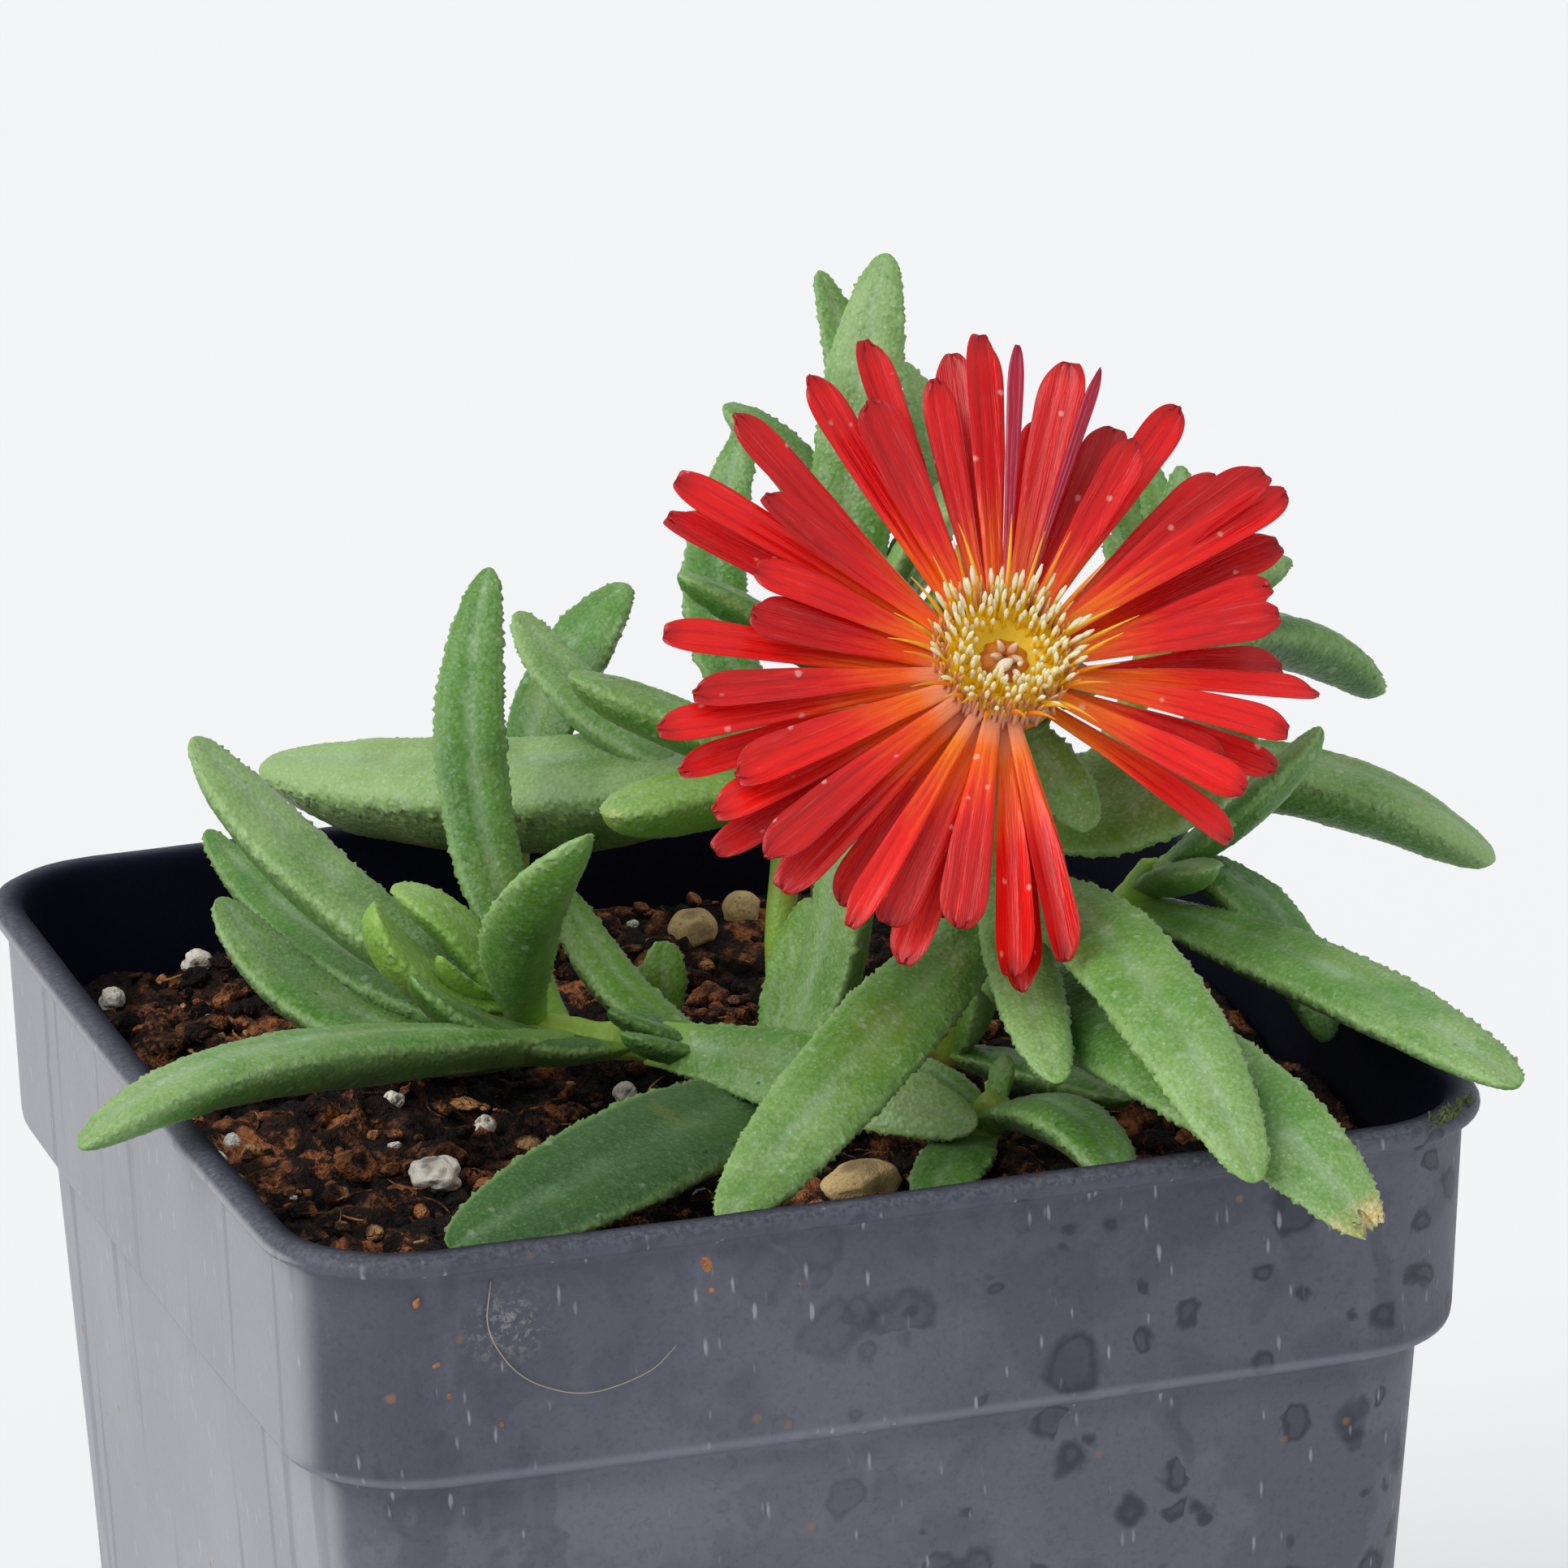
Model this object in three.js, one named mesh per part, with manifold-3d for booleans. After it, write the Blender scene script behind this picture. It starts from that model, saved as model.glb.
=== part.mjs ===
// A flowering ice plant in a square nursery pot.
// Millimetres, +Z up. The origin is the middle of the pot's underside, and the pot's faces look along X and Y.
import * as THREE from "three";
import { mergeVertices } from "three/addons/utils/BufferGeometryUtils.js";
import Module from "manifold-3d";

const wasm = await Module();
wasm.setup();

// Pot: half widths are measured from the middle to the flat of a side.
const potHeight = 88;
const lipHalf = 45;
const bandTopHalf = 43.8;
const bandFootHalf = 43.3;
const bodyTopHalf = 41.2;
const bodyFootHalf = 37;
const bandFootHeight = 70.3;
const lipDrop = 1.7;
const wall = 1.2;
const floorThickness = 1.6;
const cornerRadius = 9;
const sideBow = 0.35;
const drainRadius = 3.2;
const drainOffset = 23;

// Soil: its mean level, and the clearance that touching pieces keep.
const soilLevel = 79.4;
const clearance = 0.3;
const stemFoot = 74;

// Flower: the seat is the top of the receptacle, and the tilt and heading say where the bloom looks.
const flowerSeat = new THREE.Vector3(17, -13.5, 113.5);
const flowerRise = 48;
const flowerHeading = 265;
const petalRingInner = 2.5;
const petalRingOuter = 5.0;
const petalRingHeight = 3.0;
const petalRoot = 4.0;
const petalThickness = 0.8;
const petalLift = 0.65;
const layerStep = 0.85;
const layerSpread = 2.6;
const receptacleLength = 8;
const stamenRingInner = 2.4;
const stamenRingOuter = 4.6;
const stamenRingHeight = 0.8;

const rad = THREE.MathUtils.degToRad;

// A seeded random number from 0 to 1.
function seeded(seed) {
  let state = seed;
  return () => {
    state = (state + 0x6d2b79f5) | 0;
    let mixed = Math.imul(state ^ (state >>> 15), 1 | state);
    mixed = (mixed + Math.imul(mixed ^ (mixed >>> 7), 61 | mixed)) ^ mixed;
    return ((mixed ^ (mixed >>> 14)) >>> 0) / 4294967296;
  };
}

// A closed skin over rings of points that run counterclockwise round the path, with a fan over each end.
function loft(rings, start, end) {
  const sides = rings[0].length;
  const points = [...rings.flat(), start, end];
  const index = [];
  for (let ring = 0; ring + 1 < rings.length; ring++) {
    for (let side = 0; side < sides; side++) {
      const here = ring * sides + side;
      const next = ring * sides + ((side + 1) % sides);
      index.push(here, next, next + sides);
      index.push(here, next + sides, here + sides);
    }
  }
  const first = points.length - 2;
  const last = points.length - 1;
  const lastRing = (rings.length - 1) * sides;
  for (let side = 0; side < sides; side++) {
    const next = (side + 1) % sides;
    index.push(first, next, side);
    index.push(last, lastRing + side, lastRing + next);
  }
  const geometry = new THREE.BufferGeometry();
  geometry.setAttribute("position", new THREE.Float32BufferAttribute(points.flatMap((p) => p.toArray()), 3));
  geometry.setIndex(index);
  return geometry;
}

// A closed mesh as a solid that can be cut and joined.
function solid(geometry) {
  const bare = geometry.clone();
  bare.deleteAttribute("normal");
  bare.deleteAttribute("uv");
  const merged = mergeVertices(bare, 1e-4);
  return new wasm.Manifold(
    new wasm.Mesh({
      numProp: 3,
      vertProperties: merged.attributes.position.array,
      triVerts: new Uint32Array(merged.index.array),
    }),
  );
}

function joined(solids) {
  return solids.reduce((all, one) => all.add(one));
}

// A body turned round Z, from a profile of radius and height.
function turned(profile, sides) {
  const points = profile.map(([radius, height]) => new THREE.Vector2(radius, height));
  return solid(new THREE.LatheGeometry(points, sides).rotateX(Math.PI / 2));
}

function annulus(inner, outer, low, high, sides) {
  return turned([[inner, low], [outer, low], [outer, high], [inner, high], [inner, low]], sides);
}

// The rounded square outline of the pot at one height, counterclockwise from above.
// Each corner is an arc, and the middle of each side stands out by the bow.
function squareRing(half, corner, height, bow) {
  const ring = [];
  const arcSteps = 4;
  for (let quarter = 0; quarter < 4; quarter++) {
    const turn = (quarter * Math.PI) / 2;
    const middle = new THREE.Vector3(half + bow, 0, height);
    ring.push(middle.applyAxisAngle(new THREE.Vector3(0, 0, 1), turn));
    for (let step = 0; step <= arcSteps; step++) {
      const angle = ((step / arcSteps) * Math.PI) / 2;
      const x = half - corner + corner * Math.cos(angle);
      const y = half - corner + corner * Math.sin(angle);
      ring.push(new THREE.Vector3(x, y, height).applyAxisAngle(new THREE.Vector3(0, 0, 1), turn));
    }
  }
  return ring;
}

// The pot's section as half width, corner radius and height, up the outside and down the inside.
function pot() {
  const innerBandTop = bandTopHalf - wall;
  const innerBandFoot = bandFootHalf - wall;
  const innerBodyTop = bodyTopHalf - wall;
  const innerFoot = bodyFootHalf - wall;
  const section = [
    [bodyFootHalf - 0.8, cornerRadius - 2.2, 0],
    [bodyFootHalf, cornerRadius - 1.6, 0.9],
    [bodyTopHalf, cornerRadius - 0.8, bandFootHeight - 1.1],
    [bodyTopHalf + 0.7, cornerRadius - 0.4, bandFootHeight - 0.5],
    [bandFootHalf - 0.3, cornerRadius, bandFootHeight],
    [bandFootHalf, cornerRadius, bandFootHeight + 0.8],
    [bandTopHalf, cornerRadius, potHeight - lipDrop],
    [lipHalf - 0.2, cornerRadius + 0.6, potHeight - lipDrop + 0.2],
    [lipHalf, cornerRadius + 0.8, potHeight - 0.8],
    [lipHalf - 0.5, cornerRadius + 0.6, potHeight],
    [innerBandTop + 0.4, cornerRadius - 0.6, potHeight],
    [innerBandTop, cornerRadius - 0.8, potHeight - 0.6],
    [innerBandFoot, cornerRadius - 1, bandFootHeight + 0.6],
    [innerBodyTop, cornerRadius - 2, bandFootHeight - 1.2],
    [innerFoot, cornerRadius - 2.8, floorThickness],
  ];
  const rings = section.map(([half, corner, height]) => squareRing(half, corner, height, sideBow));
  const shell = solid(loft(rings, new THREE.Vector3(0, 0, 0), new THREE.Vector3(0, 0, floorThickness)));
  const holes = [];
  for (let quarter = 0; quarter < 4; quarter++) {
    const drain = new THREE.CylinderGeometry(drainRadius, drainRadius, 4 * floorThickness, 12);
    drain.rotateX(Math.PI / 2);
    const angle = (quarter * Math.PI) / 2;
    drain.translate(drainOffset * Math.cos(angle), drainOffset * Math.sin(angle), 0);
    holes.push(solid(drain));
  }
  return shell.subtract(joined(holes));
}

// The lumpy surface of the soil: four crossing swells on the mean level.
function soilHeight(x, y) {
  const swells =
    0.5 * Math.sin(0.21 * x + 0.4) +
    0.4 * Math.sin(0.27 * y - 1.1) +
    0.3 * Math.sin(0.33 * x - 0.29 * y + 2.0) +
    0.25 * Math.sin(0.47 * x + 0.41 * y);
  return soilLevel + swells;
}

function soilBlock() {
  const gap = wall + clearance;
  const section = [
    [bodyFootHalf - gap, cornerRadius - 3.1, floorThickness + clearance],
    [bodyTopHalf - gap, cornerRadius - 2.3, bandFootHeight - 1.2],
    [bandFootHalf - gap, cornerRadius - 1.3, bandFootHeight + 0.8],
  ];
  const rings = section.map(([half, corner, height]) => squareRing(half, corner, height, sideBow));
  const edge = squareRing(bandFootHalf - gap + 0.2, cornerRadius - 1.3, soilLevel, sideBow);
  const shrinks = [1, 0.93, 0.82, 0.69, 0.55, 0.41, 0.27, 0.13];
  shrinks.forEach((shrink) => {
    const ring = edge.map((p) => {
      const x = p.x * shrink;
      const y = p.y * shrink;
      return new THREE.Vector3(x, y, soilHeight(x, y));
    });
    rings.push(ring);
  });
  const middle = new THREE.Vector3(0, 0, soilHeight(0, 0));
  return solid(loft(rings, new THREE.Vector3(0, 0, floorThickness + clearance), middle));
}

// A rough stone: a twelve-faced body with its corners pushed in and out, turned and flattened.
function stone(at, length, breadth, height, turn, seed, grow) {
  const random = seeded(seed);
  const body = new THREE.DodecahedronGeometry(0.5);
  body.deleteAttribute("normal");
  body.deleteAttribute("uv");
  const merged = mergeVertices(body, 1e-4);
  const corners = merged.attributes.position;
  for (let i = 0; i < corners.count; i++) {
    const push = 0.82 + 0.3 * random();
    corners.setXYZ(i, corners.getX(i) * push, corners.getY(i) * push, corners.getZ(i) * push);
  }
  merged.scale(length + 2 * grow, breadth + 2 * grow, height + 2 * grow);
  merged.rotateZ(rad(turn));
  merged.translate(at[0], at[1], soilHeight(at[0], at[1]) + at[2]);
  return solid(merged);
}

// The cross-section of a leaf: a flat upper face and a keeled underside, in half widths and thicknesses.
const leafSection = [
  [1, 0],
  [0.55, 0.24],
  [-0.55, 0.24],
  [-1, 0],
  [-0.62, -0.5],
  [0, -0.76],
  [0.62, -0.5],
];

// How wide a leaf is at a share of its length: it swells from the base and rounds off to a blunt tip.
function leafSwell(share) {
  const shoulder = 0.6 + 0.4 * Math.min(share / 0.4, 1);
  const tip = Math.max((share - 0.52) / 0.48, 0);
  return shoulder * Math.sqrt(Math.max(1 - tip ** 2.3, 0));
}

// The direction of a curved blade at a share of its length, with its left and its upper side.
// The droop grows with the share to the power of the bend.
function bladeFrame(blade, share) {
  const heading = rad(blade.heading + blade.turn * share);
  const rise = rad(blade.rise - blade.droop * share ** (blade.bend ?? 1));
  const along = new THREE.Vector3(
    Math.cos(rise) * Math.cos(heading),
    Math.cos(rise) * Math.sin(heading),
    Math.sin(rise),
  );
  const side = new THREE.Vector3(-Math.sin(heading), Math.cos(heading), 0);
  side.applyAxisAngle(along, rad(blade.roll));
  const upper = new THREE.Vector3().crossVectors(along, side);
  return { along, side, upper };
}

// A point of a curved blade's middle line: short steps summed from the base.
function bladePoint(base, blade, share) {
  const point = base.clone();
  const steps = 24;
  const whole = share * steps;
  for (let step = 0; step < whole; step++) {
    const part = Math.min(1, whole - step);
    const { along } = bladeFrame(blade, (step + 0.5 * part) / steps);
    point.addScaledVector(along, (blade.length / steps) * part);
  }
  return point;
}

function leaf(base, blade) {
  const shares = blade.length > 20 ? [0, 0.16, 0.36, 0.56, 0.74, 0.88, 0.965] : [0, 0.3, 0.58, 0.82, 0.95];
  const rings = shares.map((share) => {
    const { side, upper } = bladeFrame(blade, share);
    const middle = bladePoint(base, blade, share);
    const swell = leafSwell(share);
    return leafSection.map(([across, up]) =>
      middle
        .clone()
        .addScaledVector(side, 0.5 * blade.width * swell * across)
        .addScaledVector(upper, blade.thick * swell * up),
    );
  });
  return solid(loft(rings, base.clone(), bladePoint(base, blade, 1)));
}

// A round stem through a list of points, from one radius to another.
function stem(points, startRadius, endRadius) {
  const sides = 7;
  const rings = points.map((point, i) => {
    const before = points[Math.max(i - 1, 0)];
    const after = points[Math.min(i + 1, points.length - 1)];
    const along = after.clone().sub(before).normalize();
    const side = new THREE.Vector3(0, 1, 0).cross(along).normalize();
    const other = new THREE.Vector3().crossVectors(along, side);
    const radius = THREE.MathUtils.lerp(startRadius, endRadius, i / (points.length - 1));
    return Array.from({ length: sides }, (_, k) => {
      const angle = (2 * Math.PI * k) / sides;
      return point
        .clone()
        .addScaledVector(side, radius * Math.cos(angle))
        .addScaledVector(other, radius * Math.sin(angle));
    });
  });
  return solid(loft(rings, points[0].clone(), points.at(-1).clone()));
}

// A point of a stem at a distance from its foot.
function along(points, distance) {
  let left = distance;
  for (let i = 0; i + 1 < points.length; i++) {
    const length = points[i].distanceTo(points[i + 1]);
    if (left <= length) return points[i].clone().lerp(points[i + 1], left / length);
    left -= length;
  }
  return points.at(-1).clone();
}

// The leafy stems. Each leaf is its distance up the stem, heading, rise, length, width, thickness, droop and turn
// over its length, and roll: degrees and millimetres, read off the plant leaf by leaf. A leaf that keeps straight
// and droops near its tip has a bend over 1 as well, and one that droops near its base a bend under 1.
const stemRadius = 1.35;
const stemTip = 1.05;
const shoots = {
  left_shoot: {
    stem: [[5, -3, stemFoot], [4, -3.5, 81], [-1, -3.5, 84.6], [-8, -2, 85.6], [-13, 1.5, 85.6], [-15.6, 3.1, 88.3]],
    leaves: [
      [24.5, 210, 14.5, 47.5, 6.4, 4.2, 42, -10, 0, 3.2],
      [23.5, 128, -6, 42.5, 5.0, 3.4, -28, -27, 0],
      [25, 143, -22, 32, 7.0, 3.4, -65, -26, 0],
      [25, 117, 47, 38, 5.3, 3.6, -2, -67, 0],
      [28, 137, 21, 33.5, 7.0, 4.2, -19, -15, 0],
      [28, 236, 60, 25, 6.0, 3.4, 20, 65, 0],
      [30.5, 183, 11, 13.2, 6.6, 3.0, -60, 0, -15],
      [30.5, 135, 73, 11.8, 4.8, 2.6, 62, 8, 0],
      [30.5, 204, 21, 7.5, 2.2, 1.6, -35, 0, 0],
      [11, 129, 5, 22.5, 4.4, 3.0, -40, -30, 0],
      [17.9, 304, 5, 27, 6.4, 3.2, 17, 14, 40],
      [7.4, 233, 12, 46.5, 9.4, 3.4, 17, -23, -20],
      [8.5, -3, 51, 21.5, 9.2, 3.4, -49, 5, 0],
      [8.5, 60, 45, 15, 3.3, 2.4, 5, -10, 0],
      [12.5, 180, 26, 10, 2.0, 1.6, 0, 0, 0],
      [12.5, 152, 22, 8, 2.2, 1.6, 0, 0, 0],
      [12.5, 198, 16, 10, 2.4, 1.8, -10, 0, 0],
      [20, 182, -2, 18, 5.0, 2.6, -50, -10, 0],
    ],
  },
  flower_shoot: {
    stem: [[15, -3, stemFoot], [16.5, -5, 84], [19.5, -9.5, 95], [18.6, -8.8, 102], [17.5, -8.2, 107.6]],
    leaves: [
      [9, 304, 4, 16.5, 4.1, 2.8, 10, 0, 0],
      [9, 286, 50, 9.5, 4.7, 2.8, -40, -5, 70],
      [18, 270, 4.5, 52, 8.6, 3.2, 46, 26, 25, 3],
      [23, 224, -7, 43.5, 7.3, 3.2, 15, -5, -25],
      [24, 270, 19, 46, 7.2, 3.4, 58, 7, 15],
      [28, 254, -22, 28.5, 5.0, 2.8, -6, 10, 5],
      [29.5, 341, 0, 20, 10.4, 3.4, -36, 5, 30],
    ],
  },
  right_shoot: {
    stem: [[22, -1, stemFoot], [25, -4, 86], [29, -7.5, 93], [31.5, -8.5, 96.5]],
    leaves: [
      [22, 289, 6, 44, 6.8, 3.4, 15.5, -2, 8],
      [25.8, 322, 34, 19.8, 6.2, 3.2, 111, -20, 0, 0.5],
      [25, 336, 40, 16.6, 4.4, 2.8, -6, 3, 0],
      [23.8, 289, 38, 8.4, 4.4, 2.6, 30, 5, 0],
    ],
  },
  back_right_shoot: {
    stem: [[19, 5, stemFoot], [24, 6, 88], [32, 6, 99], [37, 8, 106], [39, 11, 111]],
    leaves: [
      [28, 342, 16, 31.5, 7.0, 5.0, 55, -13, 0],
      [36, 27, 25, 27.5, 6.6, 4.2, 80, -9, 0],
      [40, 14, 37, 12.2, 5.0, 3.2, 37, -11, 0],
      [41, 52, 64, 11.5, 2.7, 2.2, 0, -5, 0],
      [37.5, 74, 56, 11.5, 3.6, 2.4, 30, 35, 0],
      [39, 72, 38, 20, 3.2, 2.2, 10, 30, 0],
      [39.3, 60, 35, 17.5, 2.8, 2.0, 0, 25, 0],
    ],
  },
  top_shoot: {
    stem: [[11, 5, stemFoot], [12, 10, 92], [15, 14, 104], [18, 18, 112]],
    leaves: [
      [33, 72, 73, 32.3, 6.3, 3.6, 15, -27, 0],
      [37, 56, 52, 29.5, 3.8, 2.8, 5, 45, 0],
      [37, 20, 19, 26.5, 3.6, 2.8, -32, 85, 0],
      [40, 115, 67, 18.5, 4.8, 3.2, 50, 10, 0],
      [26, 126, 14.5, 36.5, 4.8, 2.8, -38, -90, 0],
      [33, 174, 49, 16, 3.7, 2.6, 25, 0, 0],
      [31, 348, 78, 17, 3.0, 2.2, 20, 0, 0],
      [30, 345, 47, 18, 3.0, 2.2, -20, 0, 0],
      [34, 23, 58, 18, 4.4, 2.8, 15, -10, 0],
    ],
  },
  back_left_shoot: {
    stem: [[7.5, 5.5, stemFoot], [7.5, 7.5, 88], [9.5, 11, 97], [9.5, 11.2, 102]],
    leaves: [
      [28, 134, -15.5, 46.5, 10, 8.2, -12, -4, -14],
      [26, 133, -4, 29.8, 5.4, 3.4, -37, -32, 0],
      [27.5, 154, 26, 17.5, 4.8, 3.6, 9, -2, 0],
      [26.5, 190, 8, 15.5, 6.4, 4.4, 18, 0, 0],
    ],
  },
  far_shoot: {
    stem: [[-6, 31, stemFoot], [-5, 33, 88], [-3.8, 34.5, 93]],
    leaves: [[18.5, 38, 69, 19, 6.6, 3.6, 40, -15, 0]],
  },
  front_shoot: {
    stem: [[12, -16, stemFoot], [13.5, -18.5, 81], [15, -19.5, 84.5]],
    leaves: [
      [9.5, 295, 35, 18, 5.4, 3.4, 70, -20, 0],
      [9.5, 123, 28, 8, 4.1, 2.8, 15, 5, 0],
      [7.6, 239, 15, 13, 5.3, 2.6, 34, -9, 0],
      [9.7, 24, 67, 4.5, 2.0, 1.6, 0, 0, 0],
    ],
  },
  sprout: {
    stem: [[-0.7, 9.5, stemFoot + 1], [-0.5, 9.8, 80], [-0.5, 10.1, 82]],
    leaves: [
      [7, 85, 80, 6, 3.4, 1.6, 0, 0, 0],
      [6, 130, 60, 5.5, 3.2, 1.6, -10, 0, 0],
    ],
  },
};

function vectors(points) {
  return points.map(([x, y, z]) => new THREE.Vector3(x, y, z));
}

function shoot({ stem: route, leaves }) {
  const points = vectors(route);
  const blades = leaves.map(([distance, heading, rise, length, width, thick, droop, turn, roll, bend]) =>
    leaf(along(points, distance), { heading, rise, length, width, thick, droop, turn, roll, bend }),
  );
  return joined([stem(points, stemRadius, stemTip), ...blades]);
}

// The hole that a stem stands in: the stem's foot with the clearance all round.
function stemHole({ stem: route }) {
  const points = vectors(route);
  points[0].z -= clearance;
  return stem(points, stemRadius + 0.35, stemTip + 0.35);
}

// Turns the bloom's own frame, with Z along its axis and X uphill, into the plant's.
function placeInFlower(one) {
  const uphill = new THREE.Vector3(
    -Math.sin(rad(flowerRise)) * Math.cos(rad(flowerHeading)),
    -Math.sin(rad(flowerRise)) * Math.sin(rad(flowerHeading)),
    Math.cos(rad(flowerRise)),
  );
  const axis = new THREE.Vector3(
    Math.cos(rad(flowerRise)) * Math.cos(rad(flowerHeading)),
    Math.cos(rad(flowerRise)) * Math.sin(rad(flowerHeading)),
    Math.sin(rad(flowerRise)),
  );
  const across = new THREE.Vector3().crossVectors(axis, uphill);
  const placed = new THREE.Matrix4().makeBasis(uphill, across, axis).setPosition(flowerSeat);
  return one.transform(placed.toArray());
}

// The petals as bearing, length and, where one is narrower than the rest, its width against theirs.
// Bearings run clockwise from the uphill side as one looks at the open bloom.
const petals = [
  [3, 21.8], [7, 22], [13, 20.5, 0.35], [18, 17], [22, 21], [27, 20.5, 0.3], [34, 18.2], [40.5, 21.5],
  [38, 16.5], [53, 20], [58.5, 21.3], [64, 21.5], [68, 19.8], [80, 17.2], [86, 16.5], [93, 17], [99, 19.2],
  [110, 17], [113, 17], [119, 13.2], [129, 15.5], [132.5, 16.3], [176, 17.5], [181, 19.5], [185, 20],
  [189, 19.5], [201, 17.5], [205.5, 19.3], [210, 18], [216, 20, 0.8], [223, 17.3], [229.5, 20], [236, 20],
  [242, 21.3], [247.5, 20.5], [251, 18], [259.5, 20.7, 0.8], [264.5, 22, 0.8], [268, 19], [282, 20.3],
  [287, 14.5], [297, 15], [302.5, 22.4], [308, 23], [311, 17], [322, 23.2], [336.5, 22], [342, 18],
  [347.5, 23.3], [357, 18.7],
];
const petalStations = [
  [0, 1.3],
  [0.3, 2.0],
  [0.6, 3.2],
  [0.83, 3.6],
  [0.955, 2.8],
];

// One petal in the bloom's frame. It leaves the ring rising a little, most on the uphill side, and bends back
// over its length, most on the downhill side.
function petal([bearing, length, breadth = 1], number) {
  const layer = number % 3;
  const uphill = Math.cos(rad(bearing));
  const blade = {
    heading: -bearing,
    rise: 6 + 4 * uphill + layerSpread * (layer - 1),
    droop: 8 - 12 * uphill,
    length,
    turn: 0,
    roll: 0,
  };
  const out = new THREE.Vector3(Math.cos(rad(bearing)), -Math.sin(rad(bearing)), 0);
  const base = out.multiplyScalar(petalRoot).setZ(petalLift + layerStep * layer);
  const rings = petalStations.map(([share, width]) => {
    const { side, upper } = bladeFrame(blade, share);
    const middle = bladePoint(base, blade, share);
    const half = 0.5 * petalThickness;
    return [
      middle.clone().addScaledVector(side, 0.5 * breadth * width),
      middle.clone().addScaledVector(upper, half),
      middle.clone().addScaledVector(side, -0.5 * breadth * width),
      middle.clone().addScaledVector(upper, -half),
    ];
  });
  return solid(loft(rings, base.clone(), bladePoint(base, blade, 1)));
}

function corolla() {
  const ring = annulus(petalRingInner, petalRingOuter, 0, petalRingHeight, 20);
  return placeInFlower(joined([ring, ...petals.map(petal)]));
}

// One thread of the bloom's middle: three-sided, thicker near its end where it carries a pollen sac. Its shape
// is given as shares of the length with the radius there.
const sacThread = [[0, 0.3], [0.72, 0.24], [0.88, 0.46]];
const slimThread = [[0, 0.38], [0.6, 0.26]];
const threadSink = 0.3;
function thread(radius, angle, lean, length, sac) {
  const out = new THREE.Vector3(Math.cos(angle), Math.sin(angle), 0);
  const base = out.clone().multiplyScalar(radius).setZ(petalRingHeight + clearance + threadSink);
  const rise = new THREE.Vector3(0, 0, Math.cos(lean)).addScaledVector(out, Math.sin(lean));
  const side = new THREE.Vector3(0, 0, 1).cross(out).normalize();
  const other = new THREE.Vector3().crossVectors(rise, side);
  const stations = sac ? sacThread : slimThread;
  const rings = stations.map(([share, size]) =>
    [0, 1, 2].map((k) => {
      const turn = (2 * Math.PI * k) / 3;
      return base
        .clone()
        .addScaledVector(rise, length * share)
        .addScaledVector(side, size * Math.cos(turn))
        .addScaledVector(other, size * Math.sin(turn));
    }),
  );
  return solid(loft(rings, base.clone(), base.clone().addScaledVector(rise, length)));
}

// The yellow middle: a low ring with three circles of stamens, and slimmer threads without sacs leaning outwards.
function stamens() {
  const random = seeded(11);
  const foot = petalRingHeight + clearance;
  const pieces = [annulus(stamenRingInner, stamenRingOuter, foot, foot + stamenRingHeight, 20)];
  const circles = [
    { radius: 2.8, count: 15, lean: 4, length: 3.4, sac: true },
    { radius: 3.4, count: 18, lean: 14, length: 3.9, sac: true },
    { radius: 3.95, count: 21, lean: 25, length: 4.1, sac: true },
    { radius: 4.25, count: 15, lean: 48, length: 5.6, sac: false },
  ];
  circles.forEach(({ radius, count, lean, length, sac }) => {
    for (let i = 0; i < count; i++) {
      const angle = (2 * Math.PI * (i + 0.5 * random())) / count;
      const tilt = rad(lean + 8 * (random() - 0.5));
      pieces.push(thread(radius, angle, tilt, length * (0.88 + 0.24 * random()), sac));
    }
  });
  return placeInFlower(joined(pieces));
}

// The seed vessel in the middle: a low dome under five short blunt lobes.
const domeProfile = [[0, 0], [2.1, 0], [2.1, 2.6], [1.5, 3.6], [0, 3.9]];
const lobeRadius = 0.45;
const lobeHeight = 1.9;
const lobeOffset = 0.75;
const lobeMiddle = 4.3;
function ovary() {
  const dome = turned(domeProfile, 15);
  const lobes = Array.from({ length: 5 }, (_, k) => {
    const angle = (2 * Math.PI * k) / 5;
    const lobe = new THREE.ConeGeometry(lobeRadius, lobeHeight, 5);
    lobe.rotateX(Math.PI / 2);
    lobe.translate(lobeOffset * Math.cos(angle), lobeOffset * Math.sin(angle), lobeMiddle);
    return solid(lobe);
  });
  return placeInFlower(joined([dome, ...lobes]));
}

// The green cup under the petals, with five fleshy sepals.
const sepalLengths = [8, 6.5, 9.5, 6, 7.5];
const sepalShape = { rise: -12, droop: 10, turn: 0, roll: 0, width: 4.6, thick: 1.8 };
const sepalOffset = 2.6;
const sepalHeight = -1.6;
const firstSepal = 66;
function receptacle() {
  const profile = [
    [0, -receptacleLength - 0.4],
    [1.2, -receptacleLength - 0.4],
    [2.3, -5.4],
    [4.1, -2.6],
    [4.7, -0.9],
    [4.4, -clearance],
    [0, -clearance],
  ];
  const cup = turned(profile, 14);
  const sepals = sepalLengths.map((length, k) => {
    const bearing = firstSepal + (360 / sepalLengths.length) * k;
    const out = new THREE.Vector3(Math.cos(rad(bearing)), Math.sin(rad(bearing)), 0);
    const blade = { ...sepalShape, heading: bearing, length };
    return leaf(out.multiplyScalar(sepalOffset).setZ(sepalHeight), blade);
  });
  return placeInFlower(joined([cup, ...sepals]));
}

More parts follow.
